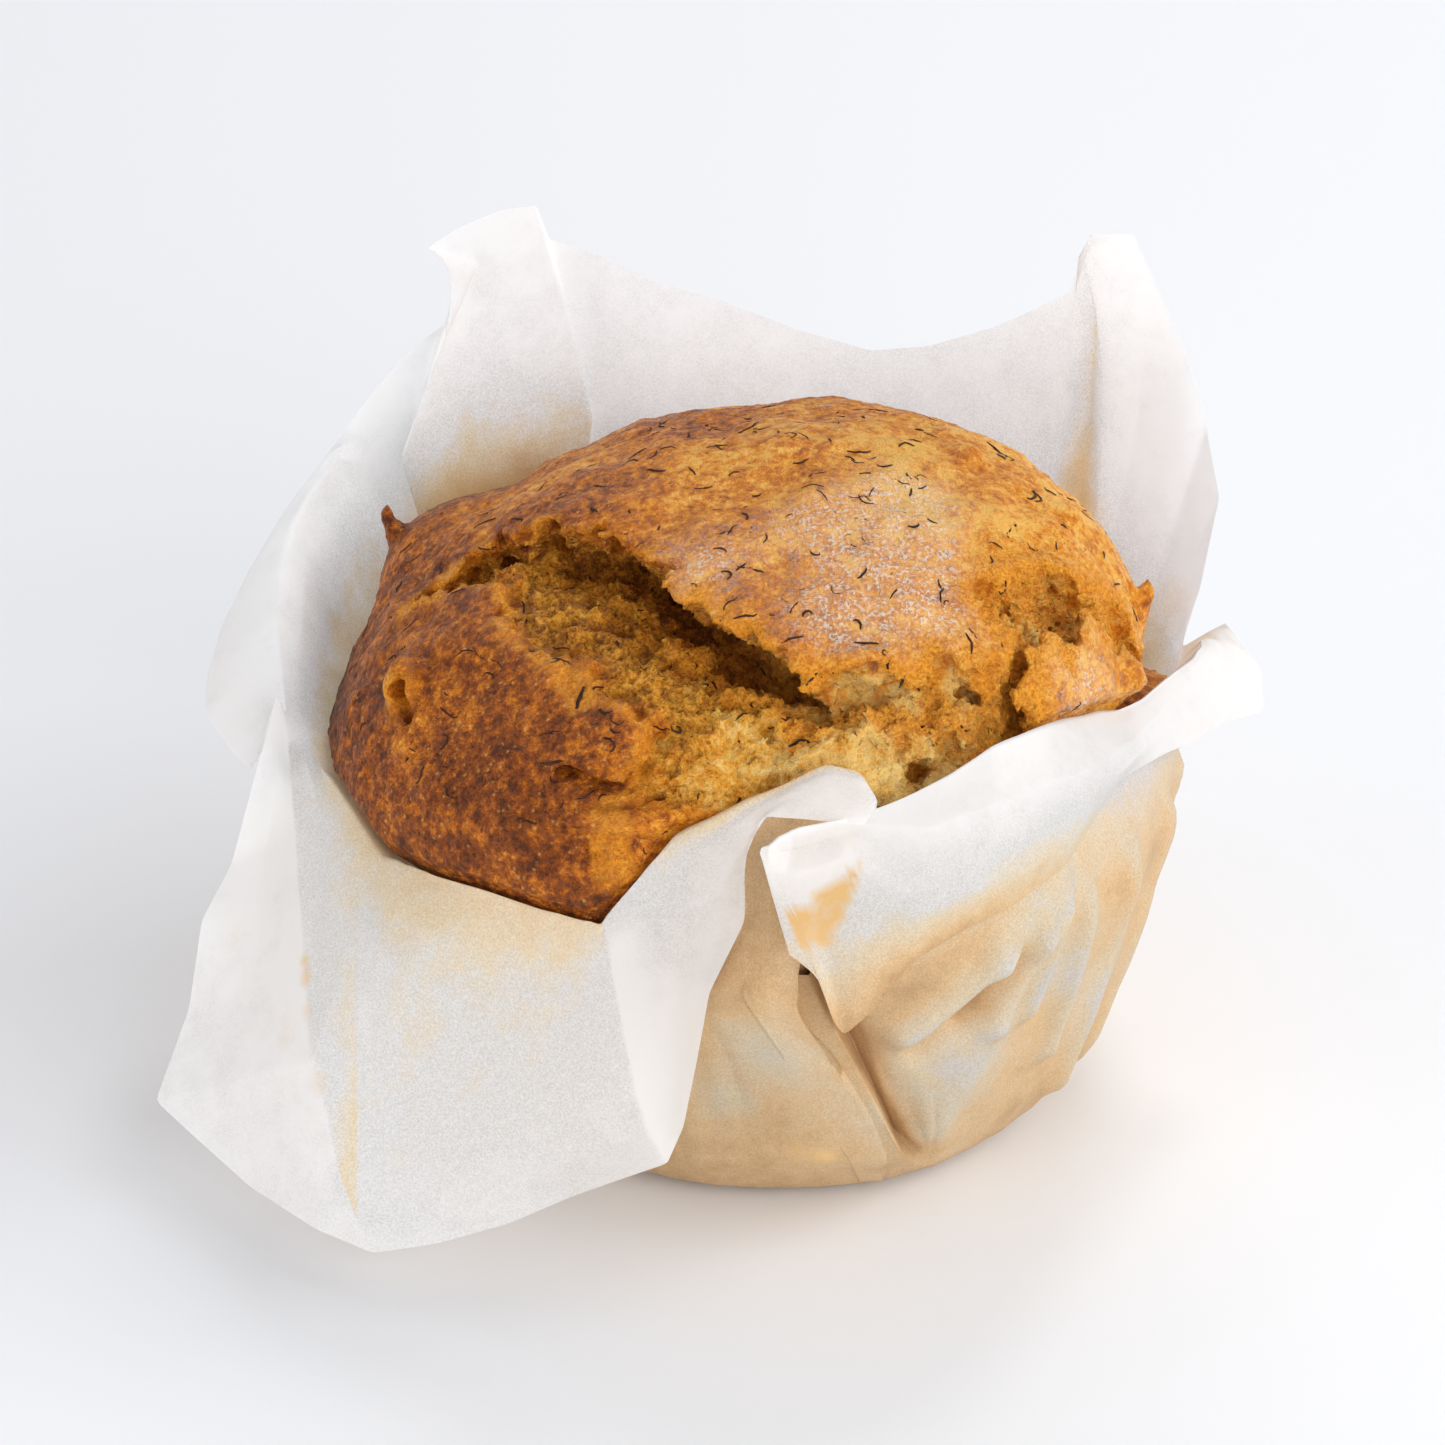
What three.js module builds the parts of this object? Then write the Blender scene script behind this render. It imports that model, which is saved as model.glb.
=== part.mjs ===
// A muffin baked in a square of baking parchment that was pressed into a round tin.
// Two pieces: the baked muffin, and the parchment that wraps it like a flower, with one
// corner peeled out and folded down at the front left.
// Millimetres, +Z up, origin at the middle of the flat bottom, front of the muffin at -Y.

import * as THREE from 'three';

// ---- Driving dimensions ----
const PAPER = 0.6;            // thickness of the parchment as a solid
const CLEARANCE = 0.9;        // air between the parchment and the baked side
const SLANT = 1.2;            // a leaning wall, measured level, is this much thicker
const FOOT_RADIUS = 25;       // flat bottom left by the tin
const CUP = [[28, 4], [31, 12], [34, 22]]; // cup wall above the foot: radius, height

const CROWN_X = -4.6;         // the crown leans over the cup's left side
const CROWN_RADIUS = 39;
const CROWN_HEIGHT = 40;      // height of the crown's widest line at its middle
const CROWN_RISE = 23.5;      // from the widest line to the top
const CROWN_TILT = 0.14;      // rise per millimetre towards +X
const CROWN_STEP = 0.2;       // least rise from each ring of the crown to the next
const LIP_GAP = 2.4;          // above the parchment's ridge, before the crown may spread
const LIP_SPREAD = 0.6;       // then millimetres outwards for each one it rises

const CRACK_DEPTH = 7;        // the split where the crown broke open in the oven
const CRACK_HALF_WIDTH = 6;
const CRACK = [[-30, -3], [-20, -11], [-11, -21], [0, -28], [12, -29], [22, -20], [29, -11]];

const SLICES = 72;            // steps around both pieces
const DOME_STEPS = 16;
const SIDE_STEPS = 10;

// The parchment, seen as ribs fanning out from the middle of the bottom. Each rib leaves
// the cup at its hip, bends at its ridge and runs to the edge of the sheet: radius, height.
const RIBS = [
  { at: 0, hip: [38, 33], ridge: [37.5, 41.5], mid: [41, 40], edge: [43, 37] },
  { at: 12, hip: [38, 31], ridge: [40, 39], mid: [44, 39.5], edge: [47.5, 37.5] },
  { at: 24, hip: [38.5, 30], ridge: [41, 34], mid: [42.5, 35.5], edge: [44, 37] },
  { at: 35, hip: [39, 30], ridge: [43, 35], mid: [49, 43], edge: [52.5, 51] },
  { at: 49, hip: [39, 30], ridge: [43, 36], mid: [47.5, 53], edge: [50.5, 70.5] },
  { at: 64, hip: [39, 30], ridge: [43, 36], mid: [47, 47], edge: [50, 57] },
  { at: 80, hip: [39, 30], ridge: [42.5, 36], mid: [45.5, 46], edge: [47.7, 55] },
  { at: 100, hip: [39, 30], ridge: [42.5, 36], mid: [45, 48], edge: [46.7, 61] },
  { at: 117, hip: [39.5, 30], ridge: [43, 36], mid: [45.5, 50], edge: [47.3, 66.5] },
  { at: 126, hip: [40, 30], ridge: [43.5, 36], mid: [45.5, 54], edge: [46.5, 73.5] },
  { at: 136, hip: [40.5, 30], ridge: [44, 37], mid: [46.5, 51], edge: [48, 66] },
  { at: 148, hip: [41, 30], ridge: [46, 40], mid: [49, 48], edge: [52, 53.5] },
  { at: 162, hip: [41.5, 29], ridge: [48.5, 45], mid: [51.3, 46.5], edge: [54, 44.5] },
  { at: 176, hip: [42, 29], ridge: [47.5, 44], mid: [51.5, 42], edge: [55.5, 37] },
  { at: 186, hip: [41.5, 29], ridge: [46, 39], mid: [49.5, 36.5], edge: [52, 32] },
  { at: 196, hip: [41, 28], ridge: [44.2, 36], mid: [50, 33], edge: [56, 26] },
  { at: 207, hip: [40.5, 28], ridge: [43.2, 35], mid: [55, 27], edge: [65.4, 13] },
  { at: 218, hip: [40, 28], ridge: [42.6, 35], mid: [53, 24], edge: [62.5, 9] },
  { at: 229, hip: [39.5, 28], ridge: [42, 35.8], mid: [51, 22], edge: [59.8, 6] },
  { at: 244, hip: [39, 28], ridge: [41, 36.6], mid: [46.5, 24], edge: [52, 9] },
  { at: 256, hip: [39, 30], ridge: [38.8, 44], mid: [41, 28], edge: [40.5, 11.5] },
  { at: 264, hip: [40, 36], ridge: [37, 47], mid: [40.8, 42], edge: [42, 34.5] },
  { at: 276, hip: [40, 37], ridge: [36.5, 51], mid: [39.5, 49], edge: [41.5, 46] },
  { at: 289, hip: [39, 37], ridge: [37.5, 50], mid: [40.5, 48.5], edge: [42.5, 45] },
  { at: 302, hip: [38, 36], ridge: [36, 51], mid: [39.3, 49.5], edge: [41.3, 46] },
  { at: 316, hip: [37.5, 35], ridge: [34.8, 49], mid: [38, 47.5], edge: [40, 44] },
  { at: 333, hip: [37, 34], ridge: [34.3, 46], mid: [37.5, 44.5], edge: [39.3, 41] },
  { at: 347, hip: [37, 33], ridge: [35.3, 43.5], mid: [38.8, 42], edge: [41, 38.5] },
];

// ---- Helpers ----
const mix = (a, b, t) => a + (b - a) * t;
const mixPair = (p, q, t) => [mix(p[0], q[0], t), mix(p[1], q[1], t)];

// The rib at any azimuth, in degrees, between the two stated ribs beside it.
function ribAt(azimuth) {
  const after = RIBS.findIndex((rib) => rib.at > azimuth);
  const low = RIBS[after < 0 ? RIBS.length - 1 : after - 1];
  const high = RIBS[after < 0 ? 0 : after];
  const span = (high.at - low.at + 360) % 360;
  const t = (azimuth - low.at) / span;
  return {
    hip: mixPair(low.hip, high.hip, t),
    ridge: mixPair(low.ridge, high.ridge, t),
    mid: mixPair(low.mid, high.mid, t),
    edge: mixPair(low.edge, high.edge, t),
  };
}

// Points along a chain of [radius, height] stations, so many steps to each stretch.
function walk(stations, stepsEach) {
  const path = [stations[0]];
  for (let i = 1; i < stations.length; i += 1) {
    const steps = stepsEach[i - 1];
    for (let k = 1; k <= steps; k += 1) {
      path.push(mixPair(stations[i - 1], stations[i], k / steps));
    }
  }
  return path;
}

// Radius of the parchment's wall at a height, up to the ridge of the rib, and above that
// the radius that the crown may spread to over the ridge.
function wallRadius(rib, height) {
  const stations = [[FOOT_RADIUS, 0], ...CUP, rib.hip, rib.ridge];
  for (let i = 1; i < stations.length; i += 1) {
    const [lowRadius, lowHeight] = stations[i - 1];
    const [highRadius, highHeight] = stations[i];
    if (height <= highHeight) {
      return mix(lowRadius, highRadius, (height - lowHeight) / (highHeight - lowHeight));
    }
  }
  return rib.ridge[0] + LIP_SPREAD * Math.max(0, height - rib.ridge[1] - LIP_GAP);
}

// One closed solid from rings of points: every ring has SLICES points [radius, height]
// given by azimuth, the first and last rings close on single points on the axis.
function solidOfRings(start, rings, end) {
  const positions = [start[0], start[1], start[2]];
  for (const ring of rings) {
    ring.forEach(([radius, height], slice) => {
      const angle = (2 * Math.PI * slice) / SLICES;
      positions.push(radius * Math.cos(angle), radius * Math.sin(angle), height);
    });
  }
  positions.push(end[0], end[1], end[2]);

  const last = positions.length / 3 - 1;
  const at = (ring, slice) => 1 + ring * SLICES + (slice % SLICES);
  const faces = [];
  for (let slice = 0; slice < SLICES; slice += 1) {
    faces.push(0, at(0, slice + 1), at(0, slice));
    for (let ring = 0; ring + 1 < rings.length; ring += 1) {
      const a = at(ring, slice);
      const b = at(ring, slice + 1);
      const c = at(ring + 1, slice + 1);
      const d = at(ring + 1, slice);
      faces.push(a, b, c, a, c, d);
    }
    faces.push(last, at(rings.length - 1, slice), at(rings.length - 1, slice + 1));
  }

  const geometry = new THREE.BufferGeometry();
  geometry.setAttribute('position', new THREE.Float32BufferAttribute(positions, 3));
  geometry.setIndex(faces);
  geometry.computeVertexNormals();
  return geometry;
}

// ---- Parchment ----
// The outer side follows the ribs; the inner side is the same path moved inwards by the
// thickness, across each rib, and the two meet around the edge of the sheet.
function linerGeometry() {
  const outer = [];
  const inner = [];
  for (let slice = 0; slice < SLICES; slice += 1) {
    const rib = ribAt((360 * slice) / SLICES);
    const stations = [[FOOT_RADIUS / 2, 0], [FOOT_RADIUS, 0], ...CUP];
    stations.push(rib.hip, rib.ridge, rib.mid, rib.edge);
    const path = walk(stations, [1, 1, 1, 1, 1, 2, 2, 3]);
    outer.push(path);
    inner.push(path.map((point, i) => {
      const before = path[Math.max(0, i - 1)];
      const after = path[Math.min(path.length - 1, i + 1)];
      const inLength = Math.hypot(point[0] - before[0], point[1] - before[1]) || 1;
      const outLength = Math.hypot(after[0] - point[0], after[1] - point[1]) || 1;
      const alongR = (point[0] - before[0]) / inLength + (after[0] - point[0]) / outLength;
      const alongZ = (point[1] - before[1]) / inLength + (after[1] - point[1]) / outLength;
      const length = Math.hypot(alongR, alongZ);
      return [point[0] - (PAPER * alongZ) / length, point[1] + (PAPER * alongR) / length];
    }));
  }
  const steps = outer[0].length;
  const rings = [];
  for (let i = 0; i < steps; i += 1) {
    rings.push(outer.map((path) => path[i]));
  }
  for (let i = steps - 1; i >= 0; i -= 1) {
    rings.push(inner.map((path) => path[i]));
  }
  return solidOfRings([0, 0, 0], rings, [0, 0, PAPER]);
}

// ---- Muffin ----
// How deep the split is at a point of the crown, seen from above.
function crackDepth(x, y) {
  let nearest = Infinity;
  for (let i = 1; i < CRACK.length; i += 1) {
    const start = new THREE.Vector3(CRACK[i - 1][0], CRACK[i - 1][1], 0);
    const stretch = new THREE.Line3(start, new THREE.Vector3(CRACK[i][0], CRACK[i][1], 0));
    const point = new THREE.Vector3(x, y, 0);
    const foot = stretch.closestPointToPoint(point, true, new THREE.Vector3());
    nearest = Math.min(nearest, foot.distanceTo(point));
  }
  return CRACK_DEPTH * Math.exp(-((nearest / CRACK_HALF_WIDTH) ** 2));
}

function muffinGeometry() {
  const bottom = PAPER + CLEARANCE;
  const rings = [];
  for (let i = 0; i < 1 + SIDE_STEPS + DOME_STEPS; i += 1) {
    rings.push([]);
  }
  for (let slice = 0; slice < SLICES; slice += 1) {
    const azimuth = (360 * slice) / SLICES;
    const rib = ribAt(azimuth);
    const cosine = Math.cos((azimuth * Math.PI) / 180);
    const sine = Math.sin((azimuth * Math.PI) / 180);
    const half = Math.sqrt(CROWN_RADIUS ** 2 - (CROWN_X * sine) ** 2);
    const widest = CROWN_X * cosine + half;
    const limit = (height) => wallRadius(rib, height) - SLANT * PAPER - CLEARANCE;
    const rimHeight = CROWN_HEIGHT + CROWN_TILT * (widest * cosine - CROWN_X);

    rings[0].push([FOOT_RADIUS - PAPER - 2 * CLEARANCE, bottom]);
    for (let i = 1; i <= SIDE_STEPS; i += 1) {
      const height = mix(bottom, rimHeight, i / SIDE_STEPS);
      rings[i].push([Math.min(widest, limit(height)), height]);
    }
    for (let i = 1; i <= DOME_STEPS; i += 1) {
      const angle = (0.5 * Math.PI * (DOME_STEPS + 1 - i)) / (DOME_STEPS + 1);
      const radius = widest * Math.sin(angle);
      const x = radius * cosine;
      const y = radius * sine;
      const reach = Math.hypot(x - CROWN_X, y) / CROWN_RADIUS;
      const rise = CROWN_RISE * Math.sqrt(1 - reach ** 2) - crackDepth(x, y);
      const domed = CROWN_HEIGHT + CROWN_TILT * (x - CROWN_X) + rise;
      const height = Math.max(rimHeight + CROWN_STEP * i, domed);
      rings[SIDE_STEPS + i].push([Math.min(radius, limit(height)), height]);
    }
  }
  const top = CROWN_HEIGHT - CROWN_TILT * CROWN_X
    + CROWN_RISE * Math.sqrt(1 - (CROWN_X / CROWN_RADIUS) ** 2);
  return solidOfRings([0, 0, bottom], rings, [0, 0, top]);
}

// ---- Object ----
const muffin = new THREE.Mesh(
  muffinGeometry(),
  new THREE.MeshStandardMaterial({ color: 0xb4692a, roughness: 0.6, metalness: 0 }),
);
muffin.name = 'muffin';

const liner = new THREE.Mesh(
  linerGeometry(),
  new THREE.MeshStandardMaterial({ color: 0xf1eee8, roughness: 0.55, metalness: 0 }),
);
liner.name = 'paper_liner';

const object = new THREE.Group();
object.add(muffin, liner);

export default object;
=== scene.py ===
import math

import bmesh
import bpy
import numpy as np
import openvdb
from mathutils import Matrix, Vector
from mathutils.bvhtree import BVHTree


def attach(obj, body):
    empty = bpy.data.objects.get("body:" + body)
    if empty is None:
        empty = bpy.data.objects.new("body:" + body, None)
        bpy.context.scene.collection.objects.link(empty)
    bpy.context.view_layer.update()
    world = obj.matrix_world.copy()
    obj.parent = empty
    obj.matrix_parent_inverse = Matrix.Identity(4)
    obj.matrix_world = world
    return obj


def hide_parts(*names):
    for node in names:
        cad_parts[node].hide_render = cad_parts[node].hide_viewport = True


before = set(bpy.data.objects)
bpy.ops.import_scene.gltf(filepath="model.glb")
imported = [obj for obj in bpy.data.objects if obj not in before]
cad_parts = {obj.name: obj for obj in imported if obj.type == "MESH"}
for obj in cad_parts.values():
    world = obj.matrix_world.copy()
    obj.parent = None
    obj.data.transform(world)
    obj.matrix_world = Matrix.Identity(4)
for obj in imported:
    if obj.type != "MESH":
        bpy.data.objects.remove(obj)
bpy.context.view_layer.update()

# ---------------------------------------------------------------------------
# Table, camera and light.
# The muffin stands on a plain pale table. A big soft window is at the right, a white
# reflector in front of it, a low white card at the left, and behind the muffin are another
# window and a small skylight.
# ---------------------------------------------------------------------------
VIEW_ELEVATION = math.radians(28)
VIEW_DISTANCE = 0.535
AIM = Vector((-0.00565, 0, 0.0364))

camera_data = bpy.data.cameras.new("camera")
camera_data.lens = 140
camera_data.sensor_width = 36
camera = bpy.data.objects.new("camera", camera_data)
bpy.context.collection.objects.link(camera)
camera.location = AIM + VIEW_DISTANCE * Vector((0, -math.cos(VIEW_ELEVATION), math.sin(VIEW_ELEVATION)))
camera.rotation_euler = (math.pi / 2 - VIEW_ELEVATION, 0, 0)
bpy.context.scene.camera = camera


def soft_window(name, place, aim, size, power, colour):
    """A rectangular area light at place that looks at aim."""
    data = bpy.data.lights.new(name, "AREA")
    data.shape = "RECTANGLE"
    data.size, data.size_y = size
    data.energy = power
    data.color = colour
    lamp = bpy.data.objects.new(name, data)
    bpy.context.collection.objects.link(lamp)
    lamp.location = place
    lamp.rotation_euler = (Vector(aim) - Vector(place)).to_track_quat("-Z", "Y").to_euler()
    return lamp


soft_window("window", (1.05, 0.06, 0.72), (0, 0, 0.03), (0.8, 0.65), 6.6, (1.0, 1.0, 0.995))
soft_window("reflector", (0.42, -0.66, 0.34), (0, 0, 0.03), (0.9, 0.5), 4.5, (1.0, 1.0, 0.995))
soft_window("left_card", (-0.62, -0.3, 0.09), (0, 0, 0.03), (0.5, 0.16), 2.3, (0.99, 0.99, 1.0))
soft_window("back_window", (0.1, 1.2, 0.8), (0, 0, 0.04), (0.9, 0.5), 4.2, (0.99, 0.99, 1.0))
soft_window("skylight", (0.22, 0.62, 1.05), (0, 0, 0.05), (0.2, 0.2), 1.5, (1.0, 1.0, 1.0))

world = bpy.data.worlds.new("room")
world.use_nodes = True
world.node_tree.nodes["Background"].inputs["Color"].default_value = (0.93, 0.95, 1.0, 1)
world.node_tree.nodes["Background"].inputs["Strength"].default_value = 0.47
bpy.context.scene.world = world
bpy.context.scene.view_settings.view_transform = "Standard"

TABLE_HALF = 25.0
TABLE_TOP = -0.0002        # a hair below the paper, so that the two faces don't mix
table_corners = [(x * TABLE_HALF, y * TABLE_HALF, TABLE_TOP) for x, y in ((-1, -1), (1, -1), (1, 1), (-1, 1))]
table_mesh = bpy.data.meshes.new("table")
table_mesh.from_pydata(table_corners, [], [(0, 1, 2, 3)])
table = bpy.data.objects.new("table", table_mesh)
bpy.context.collection.objects.link(table)
table_paint = bpy.data.materials.new("table_paint")
table_paint.use_nodes = True
table_shader = table_paint.node_tree.nodes["Principled BSDF"]
table_shader.inputs["Base Color"].default_value = (0.84, 0.845, 0.86, 1)
table_shader.inputs["Roughness"].default_value = 0.6
table_mesh.materials.append(table_paint)

# ---------------------------------------------------------------------------
# Parchment: one square of thin baking parchment, 150 mm across, pressed into the tin cup
# with pleats. It stands up in two corners at the back, is folded down over the front right,
# and its front left corner is peeled away and hangs down at the side.
# ---------------------------------------------------------------------------
MM = 0.001                 # the pieces are worked out in millimetres, the scene is in metres
paper_rng = np.random.default_rng(5)
CUP_HEIGHTS = [0, 1.0, 4, 9, 17, 28, 36]
CUP_RADII = [25.2, 27.0, 29.4, 31.4, 33.6, 36.4, 38.4]

# The sheet is drawn as ribs that fan out from the middle of the bottom, in order round the
# muffin. Each has its azimuth, or its azimuths at the foot and at the hip and how far it
# stands off the cup. Then come five points: where it leaves the muffin, where it turns, two on
# its face, and its place on the sheet's edge. Three points are spread evenly to five. Last is
# how much fat has soaked in at those points, or where it leaves, half way out and at the edge.
RIBS = [
    # left side, folded out and down
    (142, [(-35, 28.5, 39), (-36.2, 31.5, 50), (-36.8, 34, 59.6)], (0.7, 0.1, 0)),
    (146, [(-37.2, 27.3, 40), (-39.4, 29, 50), (-40.4, 31, 56.2)], (0.6, 0.1, 0)),
    (150, [(-39.2, 24.6, 41), (-41.6, 24.8, 48), (-43.3, 25.4, 52.2), (-44, 26.4, 52.6),
     (-44.6, 27.8, 51.6)], (0.5, 0.1, 0)),
    (155, [(-41, 21.6, 40), (-43.8, 21.4, 47), (-45.8, 21.4, 50.4), (-47.2, 22, 49.8), (-48.8, 24, 47)],
     (0.5, 0.1, 0)),
    (161, [(-42, 17.6, 39.5), (-45.2, 17, 46), (-47.3, 16.6, 49.2), (-49.4, 17, 47.4), (-51.6, 18.5, 43.8)],
     (0.5, 0, 0)),
    (167, [(-43, 12.6, 39), (-46, 12, 45), (-48.3, 11.6, 47), (-51, 11.8, 44.6), (-54, 11.8, 40.8)],
     (0.5, 0, 0)),
    (173, [(-43.6, 7.4, 38.5), (-46, 7, 43.5), (-48.2, 6.4, 45), (-51.4, 6, 42.2), (-55, 5, 38.4)],
     (0.5, 0, 0)),
    (179, [(-44, 2.6, 38), (-46, 2.6, 40.8), (-47.7, 2.6, 42.4), (-51.2, 1.6, 40), (-54.8, 0, 37.2)],
     (0.5, 0, 0)),
    (184, [(-44.2, -1.4, 37.4), (-45.8, -1.6, 38.9), (-47, -2, 39.6), (-49.6, -3.2, 37.8),
     (-52.2, -4, 35.6)], (0.5, 0.1, 0)),
    (185.4, [(-44.2, -2.2, 37.3), (-45.7, -2.6, 38.8), (-46.9, -2.7, 39.5), (-48.3, -4, 36.9),
     (-50.1, -5.4, 34)], (0.5, 0.1, 0)),
    # front left corner, peeled and folded down along a crease
    (186.6, [(-44.1, -3, 37.1), (-45.6, -3.6, 38.5), (-46.9, -3.6, 39.3), (-47.2, -4.2, 41),
     (-47.5, -4.8, 42.1)], (0.5, 0.2, 0, 0, 0)),
    (189, [(-44, -5, 36.8), (-45.2, -6.4, 37.1), (-46.3, -7.8, 36.5), (-47.3, -8.3, 38.2),
     (-48.4, -8.8, 39.4)], (0.5, 0.25, 0, 0, 0)),
    (194, [(-43.2, -8.4, 36.2), (-43.9, -11, 35.4), (-45.5, -14, 32.7), (-48.5, -12.2, 30),
     (-51.9, -11.6, 27.7)], (0.5, 0.25, 0, 0, 0)),
    (200, [(-41.4, -12.4, 36.2), (-42.6, -15.8, 33.6), (-44.8, -20.4, 28.8), (-49.2, -16.4, 25.4),
     (-54.8, -14, 22.8)], (0.55, 0.28, 0, 0, 0)),
    (205, [(-39.3, -17, 35.7), (-41.2, -21.4, 31.6), (-44, -27, 23.8), (-49.4, -22, 19.6),
     (-56, -17.6, 15.2)], (0.6, 0.32, 0, 0.05, 0.1)),
    (211, [(-36.9, -21.2, 34.2), (-39.2, -26.2, 29.6), (-43.2, -33, 19.2), (-50.6, -27, 13.4),
     (-59.2, -20.4, 6.8)], (0.62, 0.34, 0.02, 0.1, 0.14)),
    (216, [(-34.2, -24.4, 35.2), (-37, -29.6, 28.8), (-41.8, -36.2, 14.8), (-45.4, -35, 10),
     (-49.7, -31.4, 4.2)], (0.64, 0.36, 0.06, 0.12, 0.14)),
    (221, [(-31.4, -27.2, 35.8), (-34.6, -32.4, 28), (-40.6, -38.6, 9.6), (-41.7, -39.4, 7),
     (-42.9, -39.6, 4.8)], (0.66, 0.42, 0.28, 0.22, 0.2)),
    (226, [(-28.4, -29.8, 36.2), (-31.8, -33.6, 27), (-39.1, -40.8, 6.2), (-38.4, -41.6, 5),
     (-37.6, -42, 3.8)], (0.66, 0.42, 0.28, 0.22, 0.2)),
    (232, [(-25.2, -31.9, 36.2), (-27.1, -34.6, 27.6), (-30.2, -39.8, 10.6), (-30.8, -41, 7.6),
     (-31.4, -42, 5)], (0.66, 0.42, 0.28, 0.22, 0.2)),
    (238, [(-22, -33.9, 36), (-23.1, -35.8, 28.4), (-24.8, -40, 13.4), (-25.1, -41.2, 10), (-25.3, -42, 7)],
     (0.66, 0.42, 0.28, 0.22, 0.2)),
    (243, [(-18.9, -35.7, 36), (-19.1, -37.7, 29.8), (-19.2, -40.8, 17.4), (-19.3, -41.4, 13.6),
     (-19.3, -41.1, 9.4)], (0.66, 0.42, 0.3, 0.25, 0.2)),
    ((247, 246, 0), [(-16.6, -36.9, 35.9), (-15.8, -39.2, 32.3), (-13.5, -42, 20.3), (-12.6, -42.1, 16.8),
     (-10.7, -40.4, 12.5)], (0.6, 0.3, 0.25, 0.2, 0.1)),
    ((247.6, 246.6, 0), [(-16.3, -36.9, 36.4), (-15.4, -39.1, 32.6), (-13.2, -41.8, 20.5),
     (-12.3, -41.8, 17), (-10.5, -40, 12.7)], (0.4, -0.1, -0.1, -0.1, -0.1)),
    # the bright strip beside it, turned over towards the front, and its rounded tongue
    ((252, 249, 0), [(-14.8, -37, 38.6), (-14.2, -38.7, 34.9), (-11.4, -39.5, 22.9), (-10.4, -38.5, 18.2),
     (-9.2, -36.1, 13.7)], (0.4, -0.1, -0.1)),
    ((258, 252, 0), [(-12.2, -36.9, 42), (-12, -38, 38), (-10.2, -38, 29.7), (-9.2, -36.7, 24.3),
     (-8, -35.3, 20.6)], (0.4, 0.35, 0, -0.1, -0.1)),
    ((264, 256, 0), [(-9.6, -36.5, 44.5), (-9.4, -37.4, 41.6), (-8.6, -37.4, 35.5), (-7.9, -36.8, 31.3),
     (-6.9, -36.1, 28)], (0.55, 0.3, 0.2, 0, -0.1)),
    ((271, 260, 0), [(-5.8, -35.9, 46.4), (-5.7, -37, 44.4), (-5.2, -37.5, 41), (-4.5, -37.3, 38.4),
     (-3.7, -37, 36)], (0.7, 0.2, 0.1, 0.1, 0.1)),
    ((278, 264, 0.2), [(-2.4, -35.5, 48), (-2.5, -36.6, 47), (-2.9, -37.3, 45.4), (-3.2, -37.5, 44),
     (-3.5, -37.6, 42.6)], (0.75, 0.1, 0.08, 0.08, 0.08)),
    ((284, 267, 0.4), [(0.6, -35.2, 49.4), (0.4, -36.4, 48.9), (-0.4, -37.2, 48.2), (-1.2, -37.8, 47.8),
     (-2.1, -38.2, 47.3)], (0.75, 0.1, 0.08, 0.08, 0.08)),
    ((288, 269, 0.8), [(3.6, -35, 50.9), (3.6, -36.3, 50.4), (3.1, -37.3, 49.3), (2.5, -38, 48.2),
     (1.7, -38.5, 47.2)], (0.75, 0.1, 0.08, 0.08, 0.08)),
    ((290, 270, 1.1), [(6.4, -35.6, 50.5), (6.8, -36.6, 50), (6.7, -37.6, 48.8), (6.3, -38.2, 47.8),
     (5.6, -38.6, 46.8)], (0.75, 0.1, 0.08, 0.08, 0.08)),
    ((291.5, 270.6, 1.3), [(7.7, -36.6, 48.9), (8.1, -37.2, 48.3), (8, -37.8, 47.6), (7.6, -38.2, 47.2),
     (7, -38.5, 46.7)], (0.75, 0.3, 0.08, 0.08, 0.08)),
    # hidden under the front pleat; where it shows below the tongue it is tan, partly fat soak and partly
    # painted shade
    ((286, 262, 0.3), [(5, -35.4, 46.5), (5.2, -35.6, 46.4), (5.4, -35.8, 46.3), (5.6, -36, 46.2),
     (5.8, -36.2, 46.1)], (0.8, 0.8, 0.8)),
    ((289, 268, 0.1), [(6.4, -36, 46.6), (6.5, -36.1, 46.5), (6.6, -36.2, 46.4), (6.7, -36.3, 46.3),
     (6.8, -36.4, 46.2)], (0.8, 0.8, 0.8)),
    # the corner folded down over the front right, rolled along its top
    ((293, 275, 0), [(6.3, -37, 46.6), (-2, -41.8, 46.2), (-2.3, -42, 45.8), (-1.9, -42.1, 44.9),
     (0.5, -40.8, 34.7)], (0.1, 0, 0, 0, 0.5)),
    ((294.5, 277, 0), [(7.2, -37, 46.7), (-1.1, -41, 46.6), (-1.1, -41.1, 45.3), (-1.4, -42.4, 44.5),
     (2.6, -40.4, 32.5)], (0.1, 0, 0, 0, 0.6)),
    ((296, 278.5, 0), [(7.8, -37, 47), (0.5, -40.2, 47.1), (0.5, -40.2, 45.1), (-0.1, -42.4, 43.7),
     (4.4, -39.2, 26.6)], (0.1, 0, 0.1, 0, 0.9)),
    ((297, 280, 0), [(8.8, -36.7, 47.4), (2.9, -39.4, 47.1), (2.9, -39.4, 45.3), (2.2, -41.7, 43.7),
     (5.4, -37.6, 24.4)], (0, 0, 0.1, 0, 0.95)),
    ((299, 284, 0), [(11.6, -35.8, 48.5), (5.6, -38.4, 46.9), (5.6, -38.6, 45.8), (4.9, -40.6, 44.5),
     (7.9, -38.4, 27.4)], (0, 0, 0.1, 0, 0.9)),
    ((302, 288, 0), [(14.7, -33.8, 49.6), (12.6, -38.2, 46.2), (12.2, -38.8, 43.6), (12.1, -38.9, 38.6),
     (11.3, -38, 32)], (0, 0.05, 0.15, 0.3, 0.9)),
    ((307, 294, 0), [(18.2, -31.2, 51), (19, -35.2, 47.2), (18.4, -36, 43.2), (17.1, -36.4, 38.8),
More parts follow.
